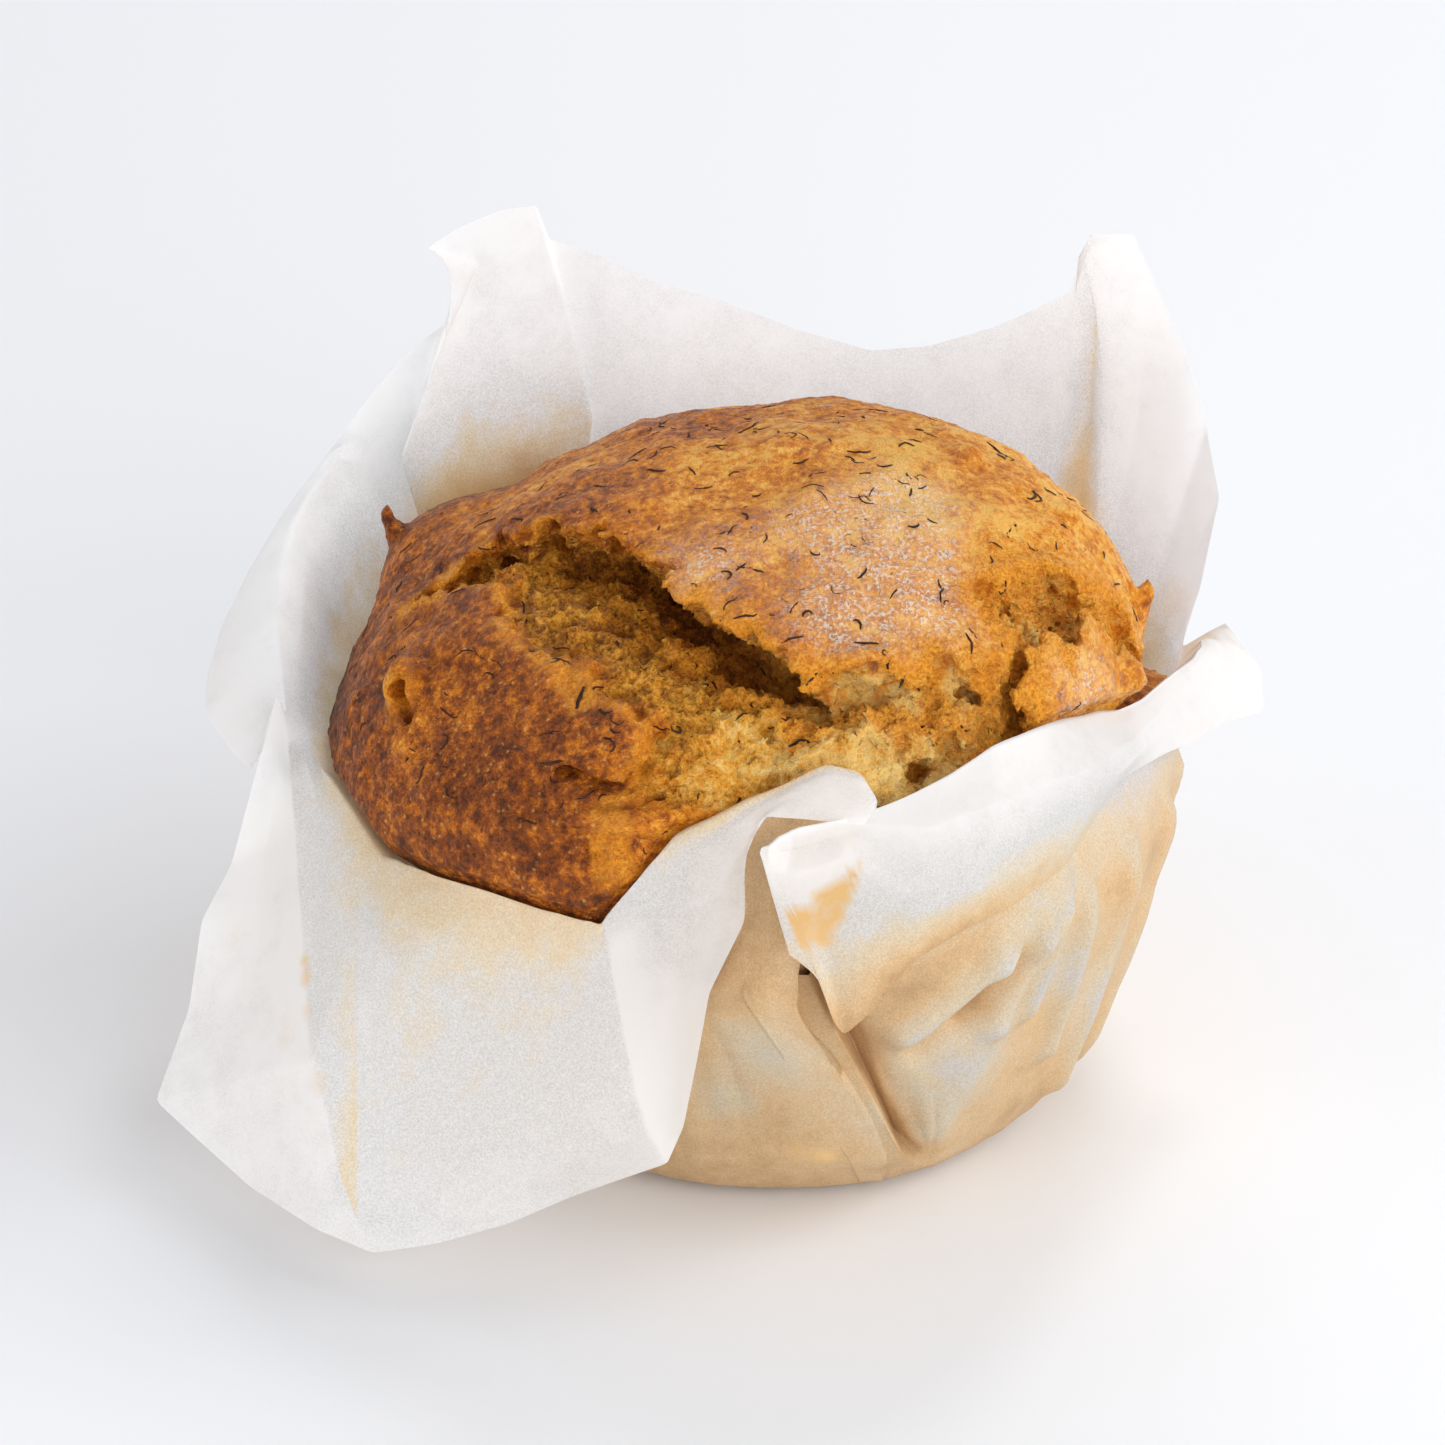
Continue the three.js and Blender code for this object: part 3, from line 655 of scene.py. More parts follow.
see_through = ramp(tree, soak_shade_value, [(0.3, (0.46, 0.46, 0.46)), (0.8, (0.16, 0.16, 0.16))])
tree.links.new(see_through, shares.inputs["Fac"])
tree.links.new(shader.outputs["BSDF"], shares.inputs[1])
tree.links.new(glow.outputs["BSDF"], shares.inputs[2])
tree.links.new(shares.outputs["Shader"], tree.nodes["Material Output"].inputs["Surface"])
paper_mesh.materials.append(paper_look)

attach(parchment, "root")
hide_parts("paper_liner")

# ---------------------------------------------------------------------------
# Muffin: one baked piece. The batter rose out of the tin cup into a crown that leans left,
# and split across the front: above the split the crust overhangs like a torn cap, below it
# soft crumb shows. The shape is worked out as a block of small cells, then skinned.
# ---------------------------------------------------------------------------
muffin_rng = np.random.default_rng(7)
CELL = 0.5
LOW = np.array([-47.0, -42.0, -1.0])
HIGH = np.array([38.5, 42.0, 68.0])
CELLS = np.round((HIGH - LOW) / CELL).astype(int) + 1
PAPER_GAP = 0.6            # the muffin stays this far inside the sheet
BASE_GAP = 0.9
WAIST_BLEND = 3.0

CROWN_X = -4.6
CROWN_RADIUS = 38.6
CROWN_HEIGHT = 40.0
CROWN_RISE = 23.6
CROWN_DROP = 13.0
CROWN_TILT = 0.14

# The split, seen from above. The torn edge of the cap runs from the left, dives to the
# front and comes back round the small lump of crust at the right.
CAP_EDGE = [
    (-35, -3), (-29.5, -1), (-22, -2), (-17, -7.5), (-13, -13), (-9.5, -18), (-7, -22), (-4.5, -23.5),
    (-1.5, -26), (2, -28), (6, -28.8), (9, -28.8), (13, -26.6), (16.5, -25), (19.6, -22), (21.4, -18.8),
    (17.6, -18), (19.7, -13.7), (23.6, -10), (27, -9.5), (30.5, -5), (34, -5)]
ISLAND_EDGE = [
    (33, -9), (29, -11.2), (25, -16), (21.6, -19.8), (19.6, -23.5), (20.5, -27), (22, -33)]
LEFT_EDGE = [
    (-13, -40), (-15.5, -35.3), (-13, -33.6), (-12, -31.3), (-14.8, -28.5), (-18.4, -25), (-22, -20.2),
    (-26, -15.6), (-25, -12), (-26.3, -7.9), (-33, -3)]
TORN_OUTLINE = CAP_EDGE + ISLAND_EDGE + [(10, -42)] + LEFT_EDGE

# Hollows under the torn cap: place from above, reach and depth.
HOLLOWS = [
    (-21, -7, 4.0, 2.0), (-16, -11.5, 4.0, 2.4), (-12.5, -17.5, 4.0, 4.6), (-8.2, -23.6, 3.6, 6.6),
    (-4.6, -26.8, 3.2, 5.4), (0.5, -28.6, 3.0, 2.0), (19, -24, 2.4, 0.8), (24.5, -12.3, 3.4, 4.4),
    (29.5, -8.2, 2.6, 3.0), (-16, -20.5, 5.0, 1.0), (-3, -33, 2.6, 1.0)]

xs, ys, zs = [LOW[i] + CELL * np.arange(CELLS[i]) for i in range(3)]
X, Y, Z = np.meshgrid(xs, ys, zs, indexing="ij")
X, Y, Z = X.astype(np.float32), Y.astype(np.float32), Z.astype(np.float32)

# The unbroken muffin: a cone from the tin under a crown of two half ellipsoids.
radius = np.hypot(X, Y)
cup_part = (radius - (np.interp(Z, CUP_HEIGHTS, CUP_RADII).astype(np.float32) - BASE_GAP)) * 0.97
cup_part = np.maximum(cup_part, BASE_GAP - Z)
cup_part = np.maximum(cup_part, Z - 38)
rise = Z - CROWN_HEIGHT - CROWN_TILT * (X - CROWN_X)
half_height = np.where(rise > 0, CROWN_RISE, CROWN_DROP).astype(np.float32)
reach = np.sqrt(((X - CROWN_X) ** 2 + Y ** 2) / CROWN_RADIUS ** 2 + (rise / half_height) ** 2)
slope = np.sqrt(((X - CROWN_X) ** 2 + Y ** 2) / CROWN_RADIUS ** 4 + rise ** 2 / half_height ** 4)
crown_part = reach * (reach - 1) / np.maximum(slope, 1e-4)
blend = np.clip(0.5 + 0.5 * (crown_part - cup_part) / WAIST_BLEND, 0, 1)
whole = crown_part + (cup_part - crown_part) * blend - WAIST_BLEND * blend * (1 - blend)
whole = np.maximum(whole, BASE_GAP - Z)

# The parchment holds the batter in: up to where each rib leaves the muffin, nothing passes it.
# The sheet's radius is kept for every height and azimuth, in steps of 1 mm and 2 degrees.
WALL_HEIGHTS = np.arange(0, 62, 1.0)
WALL_ANGLES = np.arange(-180, 181, 2.0)
levels = np.arange(len(WALL_HEIGHTS))
wall_table = np.full((len(WALL_ANGLES), len(WALL_HEIGHTS)), np.nan)
wall_rows = np.flatnonzero((row_number >= 3) & (row_number <= 9))
for column in range(column_count):
    rising = sheet_points[column, wall_rows]
    heights = np.maximum.accumulate(rising[:, 2])
    radii = np.interp(WALL_HEIGHTS, heights, np.hypot(rising[:, 0], rising[:, 1]))
    radii += 1.2 * np.maximum(0, WALL_HEIGHTS - heights[-1] - 0.6)
    angles = np.interp(WALL_HEIGHTS, heights, np.unwrap(np.arctan2(rising[:, 1], rising[:, 0])))
    slots = np.round((np.degrees(angles) % 360) / 2).astype(int) % 180
    slots = (slots + 90) % 180
    wall_table[slots, levels] = np.fmin(wall_table[slots, levels], radii)
wall_table[-1] = wall_table[0]
for level in levels:
    known = np.isfinite(wall_table[:, level])
    wall_table[:, level] = np.interp(WALL_ANGLES, WALL_ANGLES[known], wall_table[known, level], period=360)
angle_cell = (np.degrees(np.arctan2(Y[:, :, 0], X[:, :, 0])) + 180) / 2
height_cell = np.clip(zs, 0, WALL_HEIGHTS[-1] - 0.001)
low_angle = np.minimum(angle_cell.astype(int), len(WALL_ANGLES) - 2)
angle_share = angle_cell - low_angle
wall_low = height_cell.astype(int)
height_share = height_cell - wall_low
wall_by_height = wall_table[:, wall_low] * (1 - height_share) + wall_table[:, wall_low + 1] * height_share
reach_allowed = (wall_by_height[low_angle] * (1 - angle_share[:, :, None])
                 + wall_by_height[low_angle + 1] * angle_share[:, :, None])
past_paper = (radius - (reach_allowed.astype(np.float32) - PAPER_GAP)) * 0.95

# Uneven rise: broad swellings, smaller lumps and a fine skin.
crown_share = ease(Z, 30, 38)
whole += crown_share * (0.85 * soft_grid(CELLS, 30, muffin_rng) + 0.38 * soft_grid(CELLS, 12, muffin_rng))
whole += crown_share * (0.40 * soft_grid(CELLS, 5.5, muffin_rng) + 0.27 * soft_grid(CELLS, 2.6, muffin_rng))

# The split: how deep it is at each place seen from above.
plan_x, plan_y = np.meshgrid(xs, ys, indexing="ij")
plan_sizes = CELLS[:2]
ragged_x = plan_x + 0.9 * soft_grid(plan_sizes, 7, muffin_rng) + 0.9 * soft_grid(plan_sizes, 2.8, muffin_rng)
ragged_y = plan_y + 0.9 * soft_grid(plan_sizes, 7, muffin_rng) + 0.9 * soft_grid(plan_sizes, 2.8, muffin_rng)
cap_distance = distance_to_line(ragged_x, ragged_y, CAP_EDGE)
left_distance = distance_to_line(ragged_x, ragged_y, LEFT_EDGE)
island_distance = distance_to_line(ragged_x, ragged_y, ISLAND_EDGE)
outline_distance = np.minimum(np.minimum(cap_distance, left_distance), island_distance)
is_torn = inside_outline(ragged_x, ragged_y, TORN_OUTLINE)
torn_signed = np.where(is_torn, outline_distance, -outline_distance)
torn_plan = ease(torn_signed, -0.35, 0.35)
rim_width = 1.6 + 0.8 * ease(plan_x, -6, 4)
rim_plan = np.exp(-(np.minimum(cap_distance, island_distance) / rim_width) ** 2)
rim_plan += 0.7 * np.exp(-(left_distance / 1.3) ** 2)
gap_width = 3.0 - 1.7 * ease(plan_x, -2, 6)
split_depth = 0.5 + 1.2 * ease(left_distance, 0, 4) + 2.6 * np.exp(-(cap_distance / gap_width) ** 2)
split_depth += 0.4 * ease(plan_x, -2, 4) * ease(cap_distance, 1.0, 3)
split_depth += 0.7 * soft_grid(plan_sizes, 9, muffin_rng)
for hollow_x, hollow_y, hollow_reach, hollow_depth in HOLLOWS:
    away = np.hypot(ragged_x - hollow_x, ragged_y - hollow_y) / hollow_reach
    split_depth += hollow_depth * np.exp(-away ** 2)
split_depth = np.maximum(split_depth, 0.3) * torn_plan


def look_up(plan, place_x, place_y):
    """Values of a plan at places given in cells, with smooth steps between cells."""
    ix, iy = place_x.astype(int), place_y.astype(int)
    tx, ty = place_x - ix, place_y - iy
    near = plan[ix, iy] * (1 - tx) + plan[ix + 1, iy] * tx
    far = plan[ix, iy + 1] * (1 - tx) + plan[ix + 1, iy + 1] * tx
    return near * (1 - ty) + far * ty


# Deeper down, the torn wall lies further back under the cap. Low at the front left a ledge of
# crust stays nearly whole.
UNDERCUT = (0.54, 0.72)    # millimetres back, along X and Y, for each millimetre of depth
depth = np.clip(-whole, 0, 8)
column_x = np.clip((X - UNDERCUT[0] * depth - LOW[0]) / CELL, 0, CELLS[0] - 1.001)
column_y = np.clip((Y - UNDERCUT[1] * depth - LOW[1]) / CELL, 0, CELLS[1] - 1.001)
carve = look_up(split_depth.astype(np.float32), column_x, column_y)
ledge = (1 - ease(Z, 45.4, 46.8)) * (1 - ease(X, -5, 2))
carve *= ease(Z, 34, 38) * (1 - 0.92 * ledge)
broken = whole + carve

# Crumb: bubbly, with small caves of many sizes.
crumbly = ease(carve, 0.2, 0.9)
bubbles = 0.5 * soft_grid(CELLS, 7.0, muffin_rng) + 0.34 * np.abs(soft_grid(CELLS, 3.0, muffin_rng))
crumbs = 0.36 * soft_grid(CELLS, 1.5, muffin_rng)
broken += crumbly * (bubbles + crumbs - 0.15)
broken += (rim_plan[:, :, None] * crown_share * (1 - crumbly)).astype(np.float32) * (1.3 * crumbs + 0.35)


def cells_near(centre, reach_xyz, margin):
    """The block's cells round an ellipsoid, and how far each is outside it, in millimetres."""
    centre, reach_xyz = np.array(centre, float), np.array(reach_xyz, float)
    first = np.maximum(np.floor((centre - reach_xyz - margin - LOW) / CELL).astype(int), 0)
    last = np.minimum(np.ceil((centre + reach_xyz + margin - LOW) / CELL).astype(int) + 1, CELLS)
    cut = tuple(slice(a, b) for a, b in zip(first, last))
    away = sum(((grid[cut] - middle) / reach) ** 2
               for grid, middle, reach in zip((X, Y, Z), centre, reach_xyz))
    return cut, (np.sqrt(away) - 1) * reach_xyz.min()


def scoop(field, centre, reach_xyz):
    """Takes an ellipsoid out of the block."""
    cut, outside = cells_near(centre, reach_xyz, 1)
    field[cut] = np.maximum(field[cut], -outside)


def heap(field, centre, reach_xyz, melt):
    """Adds an ellipsoid to the block, melted into what is there over melt millimetres."""
    cut, outside = cells_near(centre, reach_xyz, 2)
    share = np.clip(0.5 + 0.5 * (field[cut] - outside) / melt, 0, 1)
    field[cut] = field[cut] + (outside - field[cut]) * share - melt * share * (1 - share)


PORES = 3600
BIG_PORES = 0.06
skin = np.argwhere((np.abs(broken) < 0.6) & (crumbly > 0.5))
for i, j, k in skin[muffin_rng.integers(0, len(skin), PORES)]:
    size = muffin_rng.uniform(0.4, 0.95)
    if muffin_rng.random() < BIG_PORES:
        size *= 1.5
    jitter = muffin_rng.uniform(-0.5, 0.5, 3)
    stretch = muffin_rng.uniform(0.7, 1.4, 3)
    scoop(broken, (xs[i], ys[j], zs[k]) + jitter, size * stretch)

# A round bubble hole low at the right: a row of hollows that runs into the crumb.
for deep in range(5):
    scoop(broken, (11.6, -31.8 + deep, 48.1 - 0.5 * deep), (1.15, 1.2, 1.15))

# A torn blister at the left, with craters in it.
BLISTER = (-35.6, -14.8, 47.9)
CRATERS = [
    (-35.2, -16.6, 49.2, 1.0), (-35.5, -16.2, 47.9, 1.1), (-34.9, -16.2, 46.9, 0.9),
    (-35.2, -14.6, 47.8, 1.1), (-34.4, -17.2, 46.2, 0.7)]
heap(broken, (-34.6, -14.4, 47.6), (2.2, 2.6, 3.2), 1.0)
for x, y, z, reach in CRATERS:
    scoop(broken, (x, y, z), (0.8 * reach, 1.3, 1.1 * reach))

# A slit above the ledge of crust at the front.
SLIT = [
    (-19.3, -32.0, 47.6, 1.8), (-16, -33.6, 47.3, 2.4), (-13, -34.9, 47.2, 2.6),
    (-10, -35.6, 47.0, 2.6), (-7.6, -36.2, 47.3, 2.2), (-4.1, -36.2, 48.1, 2.0)]
for x, y, z, reach in SLIT:
    scoop(broken, (x, y, z), (reach, 3.6, 0.6))
heap(broken, (-12.5, -35.6, 45.4), (7.5, 1.8, 1.1), 1.0)

# Swellings, and peaks of dried crust that stand up at the rim: place, reach and melt. The
# last one is a knob at the right, with a hollow behind it.
PEAKS = [
    ((-29, 12, 45.5), (9.4, 10, 7.5), 3.0), ((-37.2, 15.0, 49.2), (1.0, 1.2, 1.3), 0.8),
    ((-38.0, 15.6, 50.6), (0.6, 0.8, 1.3), 0.5), ((33.0, 1.4, 47.6), (1.6, 1.9, 2.2), 1.0),
    ((34.4, 1.8, 49.2), (0.7, 0.9, 1.5), 0.5), ((17.3, 5.4, 61.8), (1.5, 1.6, 1.2), 1.0),
    ((26.5, 1.0, 57.6), (1.5, 1.5, 1.2), 1.0), ((31.0, -12.0, 47.0), (2.6, 2.2, 2.6), 1.6)]
for centre, reach_xyz, melt in PEAKS:
    heap(broken, centre, reach_xyz, melt)
scoop(broken, (30.2, -11.6, 49.4), (0.7, 2.0, 1.9))

# The block's surface becomes the mesh, without the crumbs that came loose.
FAR = 5.0                  # millimetres from the surface past which the block keeps no more detail
broken = np.maximum(broken, past_paper)
block = openvdb.FloatGrid(FAR)
block.copyFromArray(np.clip(broken, -FAR, FAR).astype(np.float32))
points, quads = block.convertToQuads(isovalue=0.0)
points = points * CELL + LOW

muffin_mesh = bpy.data.meshes.new("muffin_baked")
muffin_mesh.from_pydata((points * MM).tolist(), [], quads[:, ::-1].tolist())
trimmer = bmesh.new()
trimmer.from_mesh(muffin_mesh)
islands = []
unseen = set(trimmer.verts)
while unseen:
    stack = [unseen.pop()]
    island = [stack[0]]
    while stack:
        for edge in stack.pop().link_edges:
            for vert in edge.verts:
                if vert in unseen:
                    unseen.discard(vert)
                    stack.append(vert)
                    island.append(vert)
    islands.append(island)
islands.sort(key=len)
for island in islands[:-1]:
    bmesh.ops.delete(trimmer, geom=island, context="VERTS")
bmesh.ops.recalc_face_normals(trimmer, faces=trimmer.faces)
trimmer.to_mesh(muffin_mesh)
trimmer.free()


def at_points(field, places):
    """Values of the block's field at places given in millimetres, nearest cell."""
    cell = np.clip(np.round((places - LOW) / CELL).astype(int), 0, CELLS - 1)
    return field[cell[:, 0], cell[:, 1], cell[:, 2]]


# Every grain stands up or lies back a little: more in the torn crumb than on the crust.
skin_places = vertex_places(muffin_mesh)
skin_depth = np.clip(-at_points(whole, skin_places), 0, 12)
skin_torn = ease(at_points(carve, skin_places), 0.15, 0.9) * ease(skin_depth, 0.25, 0.9)
skin_normals = np.empty(len(skin_places) * 3, np.float32)
muffin_mesh.vertices.foreach_get("normal", skin_normals)
grains = muffin_rng.normal(0, 1, len(skin_places)).clip(-2, 2)
rim = at_points(np.broadcast_to(rim_plan[:, :, None], CELLS), skin_places)
rim = rim * ease(skin_places[:, 2], 36, 42)
rim = np.maximum(rim, np.exp(-(np.linalg.norm(skin_places - BLISTER, axis=1) / 2.6) ** 2))
grains *= ease(skin_places[:, 2], 33, 37) * (0.045 + 0.14 * skin_torn + 0.07 * rim)
skin_places += skin_normals.reshape(-1, 3) * grains[:, None]
muffin_mesh.vertices.foreach_set("co", (skin_places * MM).astype(np.float32).reshape(-1))
muffin = smooth_piece("muffin_baked", muffin_mesh)
give_attribute(muffin_mesh, "torn", skin_torn)
give_attribute(muffin_mesh, "depth", skin_depth)
give_attribute(muffin_mesh, "rim", rim)

# Glossy places where sugar ran out on top, which also get a painted pale sheen and painted glints.
SUGAR_REACH = 4.4
WET_AND_SHEEN_SPOTS = [
    (11.1, -9, 63), (7.6, -12.9, 62.6), (11.8, -14.1, 61.8), (4.4, -22.3, 59.7), (7.4, -20.9, 60),
    (2.5, -10.9, 63.1), (11.2, -5.2, 63.4), (-7.7, -15.2, 61.2), (14, -20, 59), (27, -19, 50)]
wet_and_sheen = np.zeros(len(skin_places))
for spot in WET_AND_SHEEN_SPOTS:
    wet_and_sheen += np.exp(-(np.linalg.norm(skin_places - spot, axis=1) / SUGAR_REACH) ** 2)
give_attribute(muffin_mesh, "wet_and_sheen", np.clip(wet_and_sheen, 0, 1))

# The crust is darker low on the left and paler on the top right, partly browning and partly
# painted shade and painted light; the crumb is painted lighter at the front right and darker
# towards the left, as painted light and shade.
brown_and_shade = 0.38 - 0.0065 * (skin_places[:, 0] - CROWN_X) - 0.011 * (skin_places[:, 2] - 52)
give_attribute(muffin_mesh, "browning_and_shade", np.clip(brown_and_shade, 0, 1))
give_attribute(muffin_mesh, "crumb_light_and_shade", ease(skin_places[:, 0] - 0.5 * skin_places[:, 1], -5, 30))

# Crust: brown by how far it toasted, with painted shade low on the left and painted light on the
# top right, pale specks, and painted glints over a faint painted sheen on the wet places.
baked, tree, shader = new_material("baked_crust_and_crumb")
patches = noise(tree, 70, 4, 0.6)
mottle = noise(tree, 330, 5, 0.72)
grain = noise(tree, 1000, 4, 0.75)
fine_grain = noise(tree, 2600, 3, 0.7)
wet_and_sheen_share = attribute(tree, "wet_and_sheen")
toast_and_shade = weighted_sum(tree, -1.95, (attribute(tree, "browning_and_shade"), 1.0), (patches, 1.2), (mottle, 1.0),
                     (grain, 1.8), clamp=True)
crust_colour = ramp(tree, toast_and_shade, [
    (0.0, (0.95, 0.50, 0.09)), (0.2, (0.84, 0.31, 0.018)), (0.42, (0.60, 0.17, 0.006)),
    (0.68, (0.29, 0.066, 0.004)), (1.0, (0.09, 0.02, 0.003))])
specks = add_node(tree, "ShaderNodeTexVoronoi", {"Scale": 1050, "Randomness": 1.0})
tree.links.new(add_node(tree, "ShaderNodeTexCoord").outputs["Object"], specks.inputs["Vector"])
speck_edges = weighted_sum(tree, 0.0, (specks.outputs["Distance"], 1.0), (mottle, 0.5))
pale_specks = ramp(tree, speck_edges, [(0.30, (0.42, 0.42, 0.42)), (0.48, (0, 0, 0))])
crust_colour = mix_colour(tree, pale_specks, crust_colour, (0.86, 0.52, 0.16))
# Painted glints over a faint painted sheen: the shine of the wet places put into the colour.
painted_glints = weighted_sum(tree, 0.0, (fine_grain, 0.7), (grain, 0.5))
painted_glints = ramp(tree, painted_glints, [(0.60, (0.12, 0.12, 0.12)), (0.69, (0.75, 0.75, 0.75))])
painted_glint_share = math_node(tree, "MULTIPLY", painted_glints, wet_and_sheen_share)
crust_colour = mix_colour(tree, painted_glint_share, crust_colour, (0.97, 0.86, 0.70))

# Crumb: golden grains, with painted light at the front right and painted shade at the left, and
# painted shade down in the hollows.
crumb_depth, crumb_light_and_shade = attribute(tree, "depth"), attribute(tree, "crumb_light_and_shade")
crumb_tone = weighted_sum(tree, -1.30, (mottle, 0.9), (grain, 1.5), (fine_grain, 0.7), (crumb_light_and_shade, 0.62),
                          clamp=True)
crumb_grain = ramp(tree, crumb_tone, [
    (0.08, (0.27, 0.085, 0.004)), (0.30, (0.62, 0.24, 0.012)), (0.52, (0.90, 0.43, 0.05)),
    (0.80, (0.99, 0.66, 0.22))])
toasted = ramp(tree, weighted_sum(tree, 0.0, (crumb_depth, 0.2), (patches, 0.5)),
               [(0.35, (0.92, 0.66, 0.28)), (0.75, (1, 1, 1))])
crumb_grain = mix_colour(tree, 1.0, crumb_grain, toasted, "MULTIPLY")
# Painted shade, deeper down in the hollows and less at the front right.
hollow_shade = ramp(tree, weighted_sum(tree, 0.0, (crumb_depth, 0.1), (crumb_light_and_shade, -0.15)),
                   [(0.3, (1, 1, 1)), (0.5, (0.88, 0.78, 0.6)), (1.0, (0.5, 0.34, 0.16))])
crumb_colour = mix_colour(tree, 1.0, crumb_grain, hollow_shade, "MULTIPLY")

# Both together, with a toasted orange rim along the torn edges.
torn_share = attribute(tree, "torn")
baked_colour = mix_colour(tree, torn_share, crust_colour, crumb_colour)
rim_share = math_node(tree, "MULTIPLY", attribute(tree, "rim"), grain)
rim_share = ramp(tree, rim_share, [(0.12, (0, 0, 0)), (0.40, (0.92, 0.92, 0.92))])
rim_colour = ramp(tree, fine_grain, [(0.35, (0.60, 0.17, 0.008)), (0.62, (0.98, 0.42, 0.03))])
baked_colour = mix_colour(tree, rim_share, baked_colour, rim_colour)
tree.links.new(baked_colour, shader.inputs["Base Color"])
roughness = weighted_sum(tree, 0.08, (torn_share, 0.2), (mottle, 0.55), (wet_and_sheen_share, -0.26))
tree.links.new(math_node(tree, "MAXIMUM", roughness, 0.1), shader.inputs["Roughness"])
relief = weighted_sum(tree, 0.0, (mottle, 0.25), (grain, 0.45), (fine_grain, 0.3))
bump = add_node(tree, "ShaderNodeBump", {"Strength": 1.0, "Distance": 0.0017})
tree.links.new(relief, bump.inputs["Height"])
tree.links.new(bump.outputs["Normal"], shader.inputs["Normal"])
shader.inputs["Subsurface Weight"].default_value = 0.15
shader.inputs["Subsurface Radius"].default_value = (0.0018, 0.0008, 0.0002)
shader.inputs["Subsurface Scale"].default_value = 1.0
shader.inputs["Specular IOR Level"].default_value = 0.26
muffin_mesh.materials.append(baked)

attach(muffin, "root")
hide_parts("muffin")

# ---------------------------------------------------------------------------
# Banana fibres: thin dark strands of fruit that baked into the crust, each a few
# millimetres long, curved, lying half sunk in the surface wherever they happened to rise.
# ---------------------------------------------------------------------------
FIBRES = 420
FIBRE_STEPS = 7
FIBRE_SIDES = 5
FIBRE_FLATNESS = 0.7
# The boldest strands: where they start, which way they run, length, thickness.
BOLD_STRANDS = [
    ((-21.6, -21, 54.5), (0.8, -0.3, -0.6), 2.6, 0.19),
    ((-18.2, -25.2, 53.6), (0.3, -0.5, -0.9), 3.2, 0.22),
    ((-14.8, -30.2, 51.8), (0.1, -0.3, -1), 2.4, 0.18), ((-22.4, -30, 48.3), (1, -0.2, -0.2), 2.8, 0.17),
    ((-33.6, -23.2, 42.4), (0.6, -0.4, 0.5), 2.4, 0.14),
    ((-31.3, -22.9, 45.8), (0.5, -0.3, 0.6), 2.8, 0.13), ((-6.6, -13.3, 61.8), (1, 0.3, 0), 2.0, 0.12),
    ((-4.5, -15.9, 61.5), (1, -0.5, 0), 2.2, 0.14), ((6.2, -25.1, 58.1), (1, -0.2, 0.2), 2.6, 0.14),
    ((-3.6, -11.8, 62.6), (0.9, 0.5, 0), 2.4, 0.12), ((6, -10.1, 63.2), (1, 0.1, 0), 2.2, 0.13),
    ((-27, -19, 51), (0.7, 0.2, 0.4), 2.2, 0.12)]
fibre_rng = np.random.default_rng(21)
surface = BVHTree.FromPolygons([vert.co for vert in muffin_mesh.vertices],
                               [face.vertices for face in muffin_mesh.polygons])
strands = []
for _ in range(FIBRES):
    turn = fibre_rng.uniform(0, 2 * math.pi)
    climb = math.asin(fibre_rng.uniform(0.05, 1))
    outward = Vector((math.cos(turn) * math.cos(climb), math.sin(turn) * math.cos(climb), math.sin(climb)))
    outside = Vector((CROWN_X, 0, CROWN_HEIGHT)) + outward * 60
    start = surface.ray_cast(outside * MM, -outward)[0]
    heading = Vector(fibre_rng.normal(0, 1, 3))
    strands.append((start / MM, heading, fibre_rng.uniform(0.7, 3.0), fibre_rng.uniform(0.06, 0.16)))
strands += [(Vector(place), Vector(heading), length, thick) for place, heading, length, thick in BOLD_STRANDS]
fibre_verts, fibre_faces = [], []
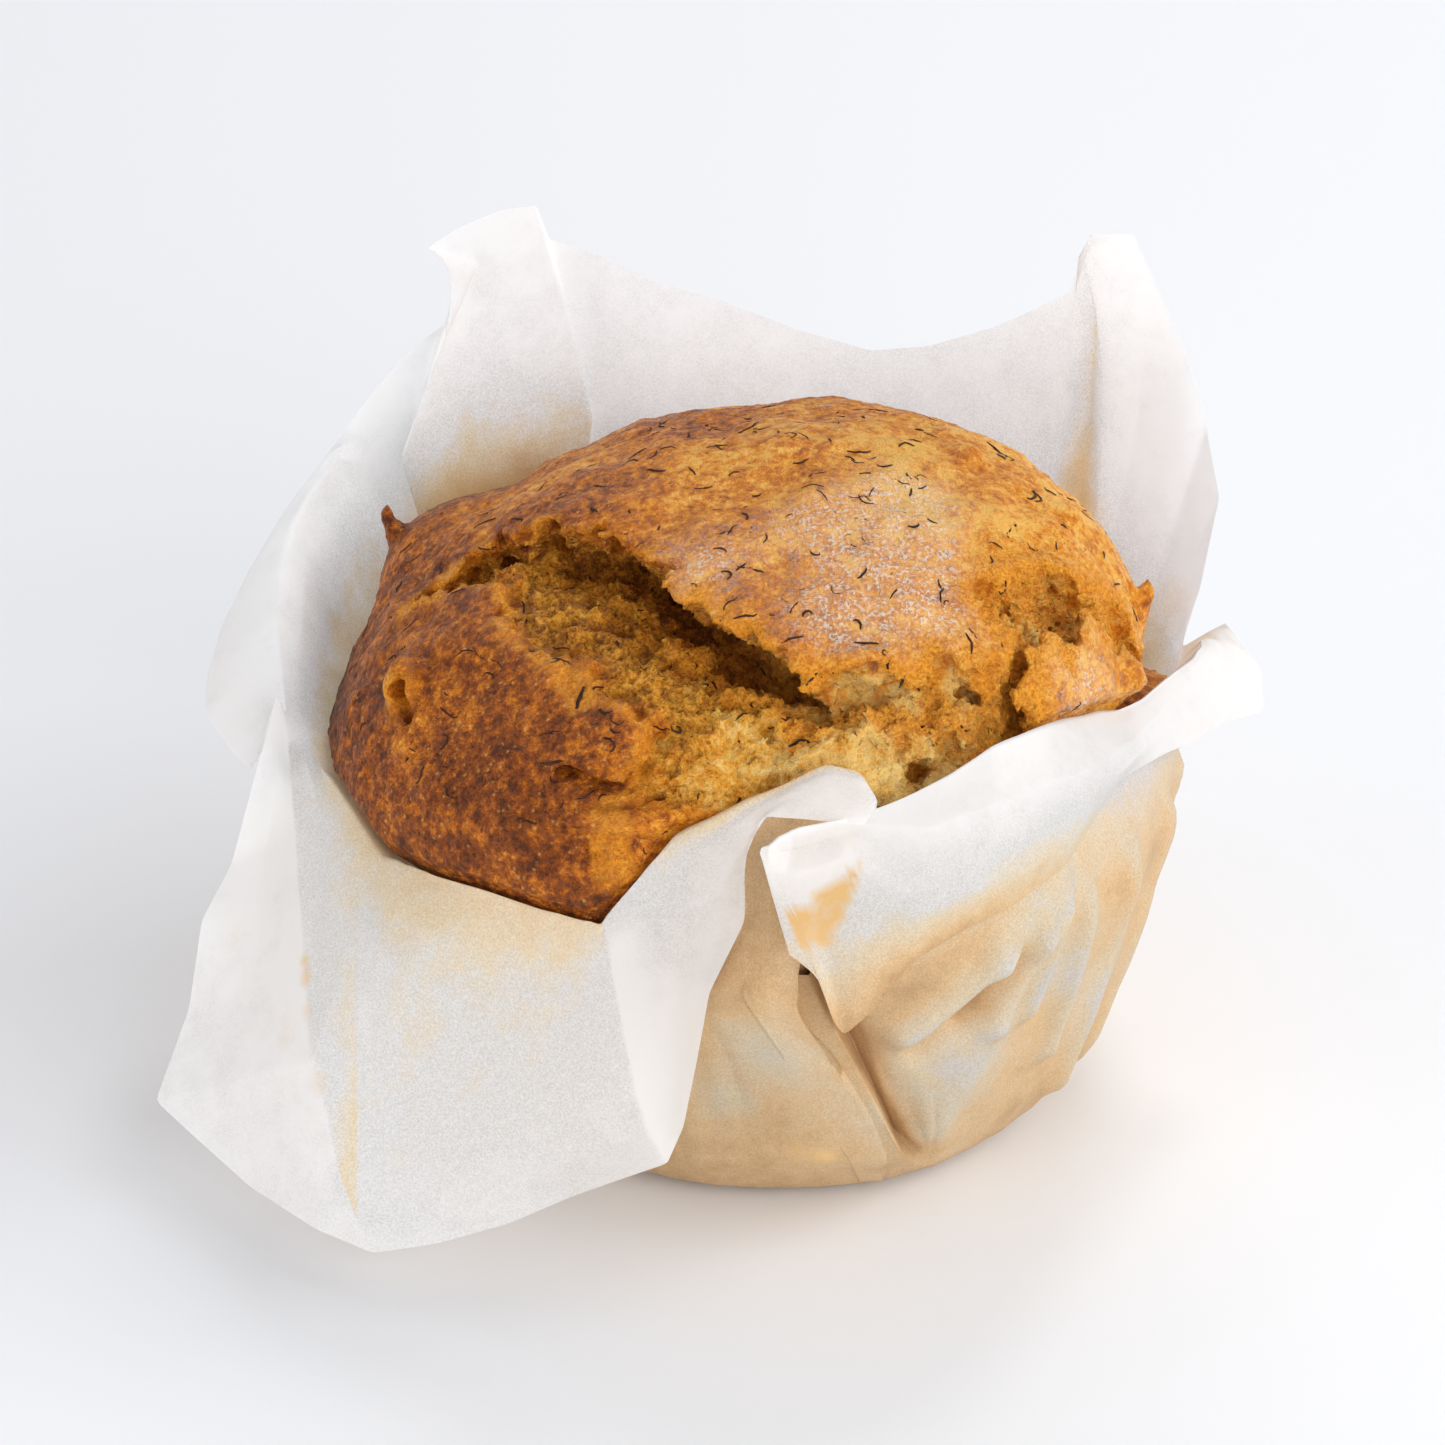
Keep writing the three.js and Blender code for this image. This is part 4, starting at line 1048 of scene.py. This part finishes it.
for place, heading, length, thick in strands:
    curl = fibre_rng.normal(0, 0.22)
    sunk = fibre_rng.uniform(-0.10, 0.05)
    spine = []
    for step in range(FIBRE_STEPS):
        on_skin, normal = surface.find_nearest(place * MM)[:2]
        place = on_skin / MM
        spine.append((place + normal * sunk, normal))
        heading = (heading - heading.dot(normal) * normal).normalized()
        bend = curl + fibre_rng.normal(0, 0.3)
        heading = heading * math.cos(bend) + normal.cross(heading) * math.sin(bend)
        place = place + heading * (length / FIBRE_STEPS)
    first_vert = len(fibre_verts)
    for step, (place, normal) in enumerate(spine):
        ahead = spine[min(step + 1, FIBRE_STEPS - 1)][0] - spine[max(step - 1, 0)][0]
        side = ahead.cross(normal).normalized()
        taper = thick * math.sin(math.pi * (step + 0.6) / (FIBRE_STEPS + 0.2)) ** 0.5
        for k in range(FIBRE_SIDES):
            angle = 2 * math.pi * k / FIBRE_SIDES
            out = math.cos(angle) * side + FIBRE_FLATNESS * math.sin(angle) * normal
            fibre_verts.append((place + taper * out) * MM)
    for step in range(FIBRE_STEPS - 1):
        for k in range(FIBRE_SIDES):
            a = first_vert + step * FIBRE_SIDES + k
            b = first_vert + step * FIBRE_SIDES + (k + 1) % FIBRE_SIDES
            fibre_faces.append((a, b, b + FIBRE_SIDES, a + FIBRE_SIDES))
    fibre_faces.append(tuple(first_vert + k for k in reversed(range(FIBRE_SIDES))))
    last_ring = first_vert + (FIBRE_STEPS - 1) * FIBRE_SIDES
    fibre_faces.append(tuple(last_ring + k for k in range(FIBRE_SIDES)))

fibre_mesh = bpy.data.meshes.new("banana_fibres")
fibre_mesh.from_pydata(fibre_verts, [], fibre_faces)
fibres = smooth_piece("banana_fibres", fibre_mesh)
strand, tree, shader = new_material("baked_banana_fibre")
strand_colour = ramp(tree, noise(tree, 700, 2), [(0.35, (0.016, 0.006, 0.004)), (0.65, (0.07, 0.02, 0.007))])
tree.links.new(strand_colour, shader.inputs["Base Color"])
shader.inputs["Roughness"].default_value = 0.6
shader.inputs["Specular IOR Level"].default_value = 0.2
fibre_mesh.materials.append(strand)
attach(fibres, "root")
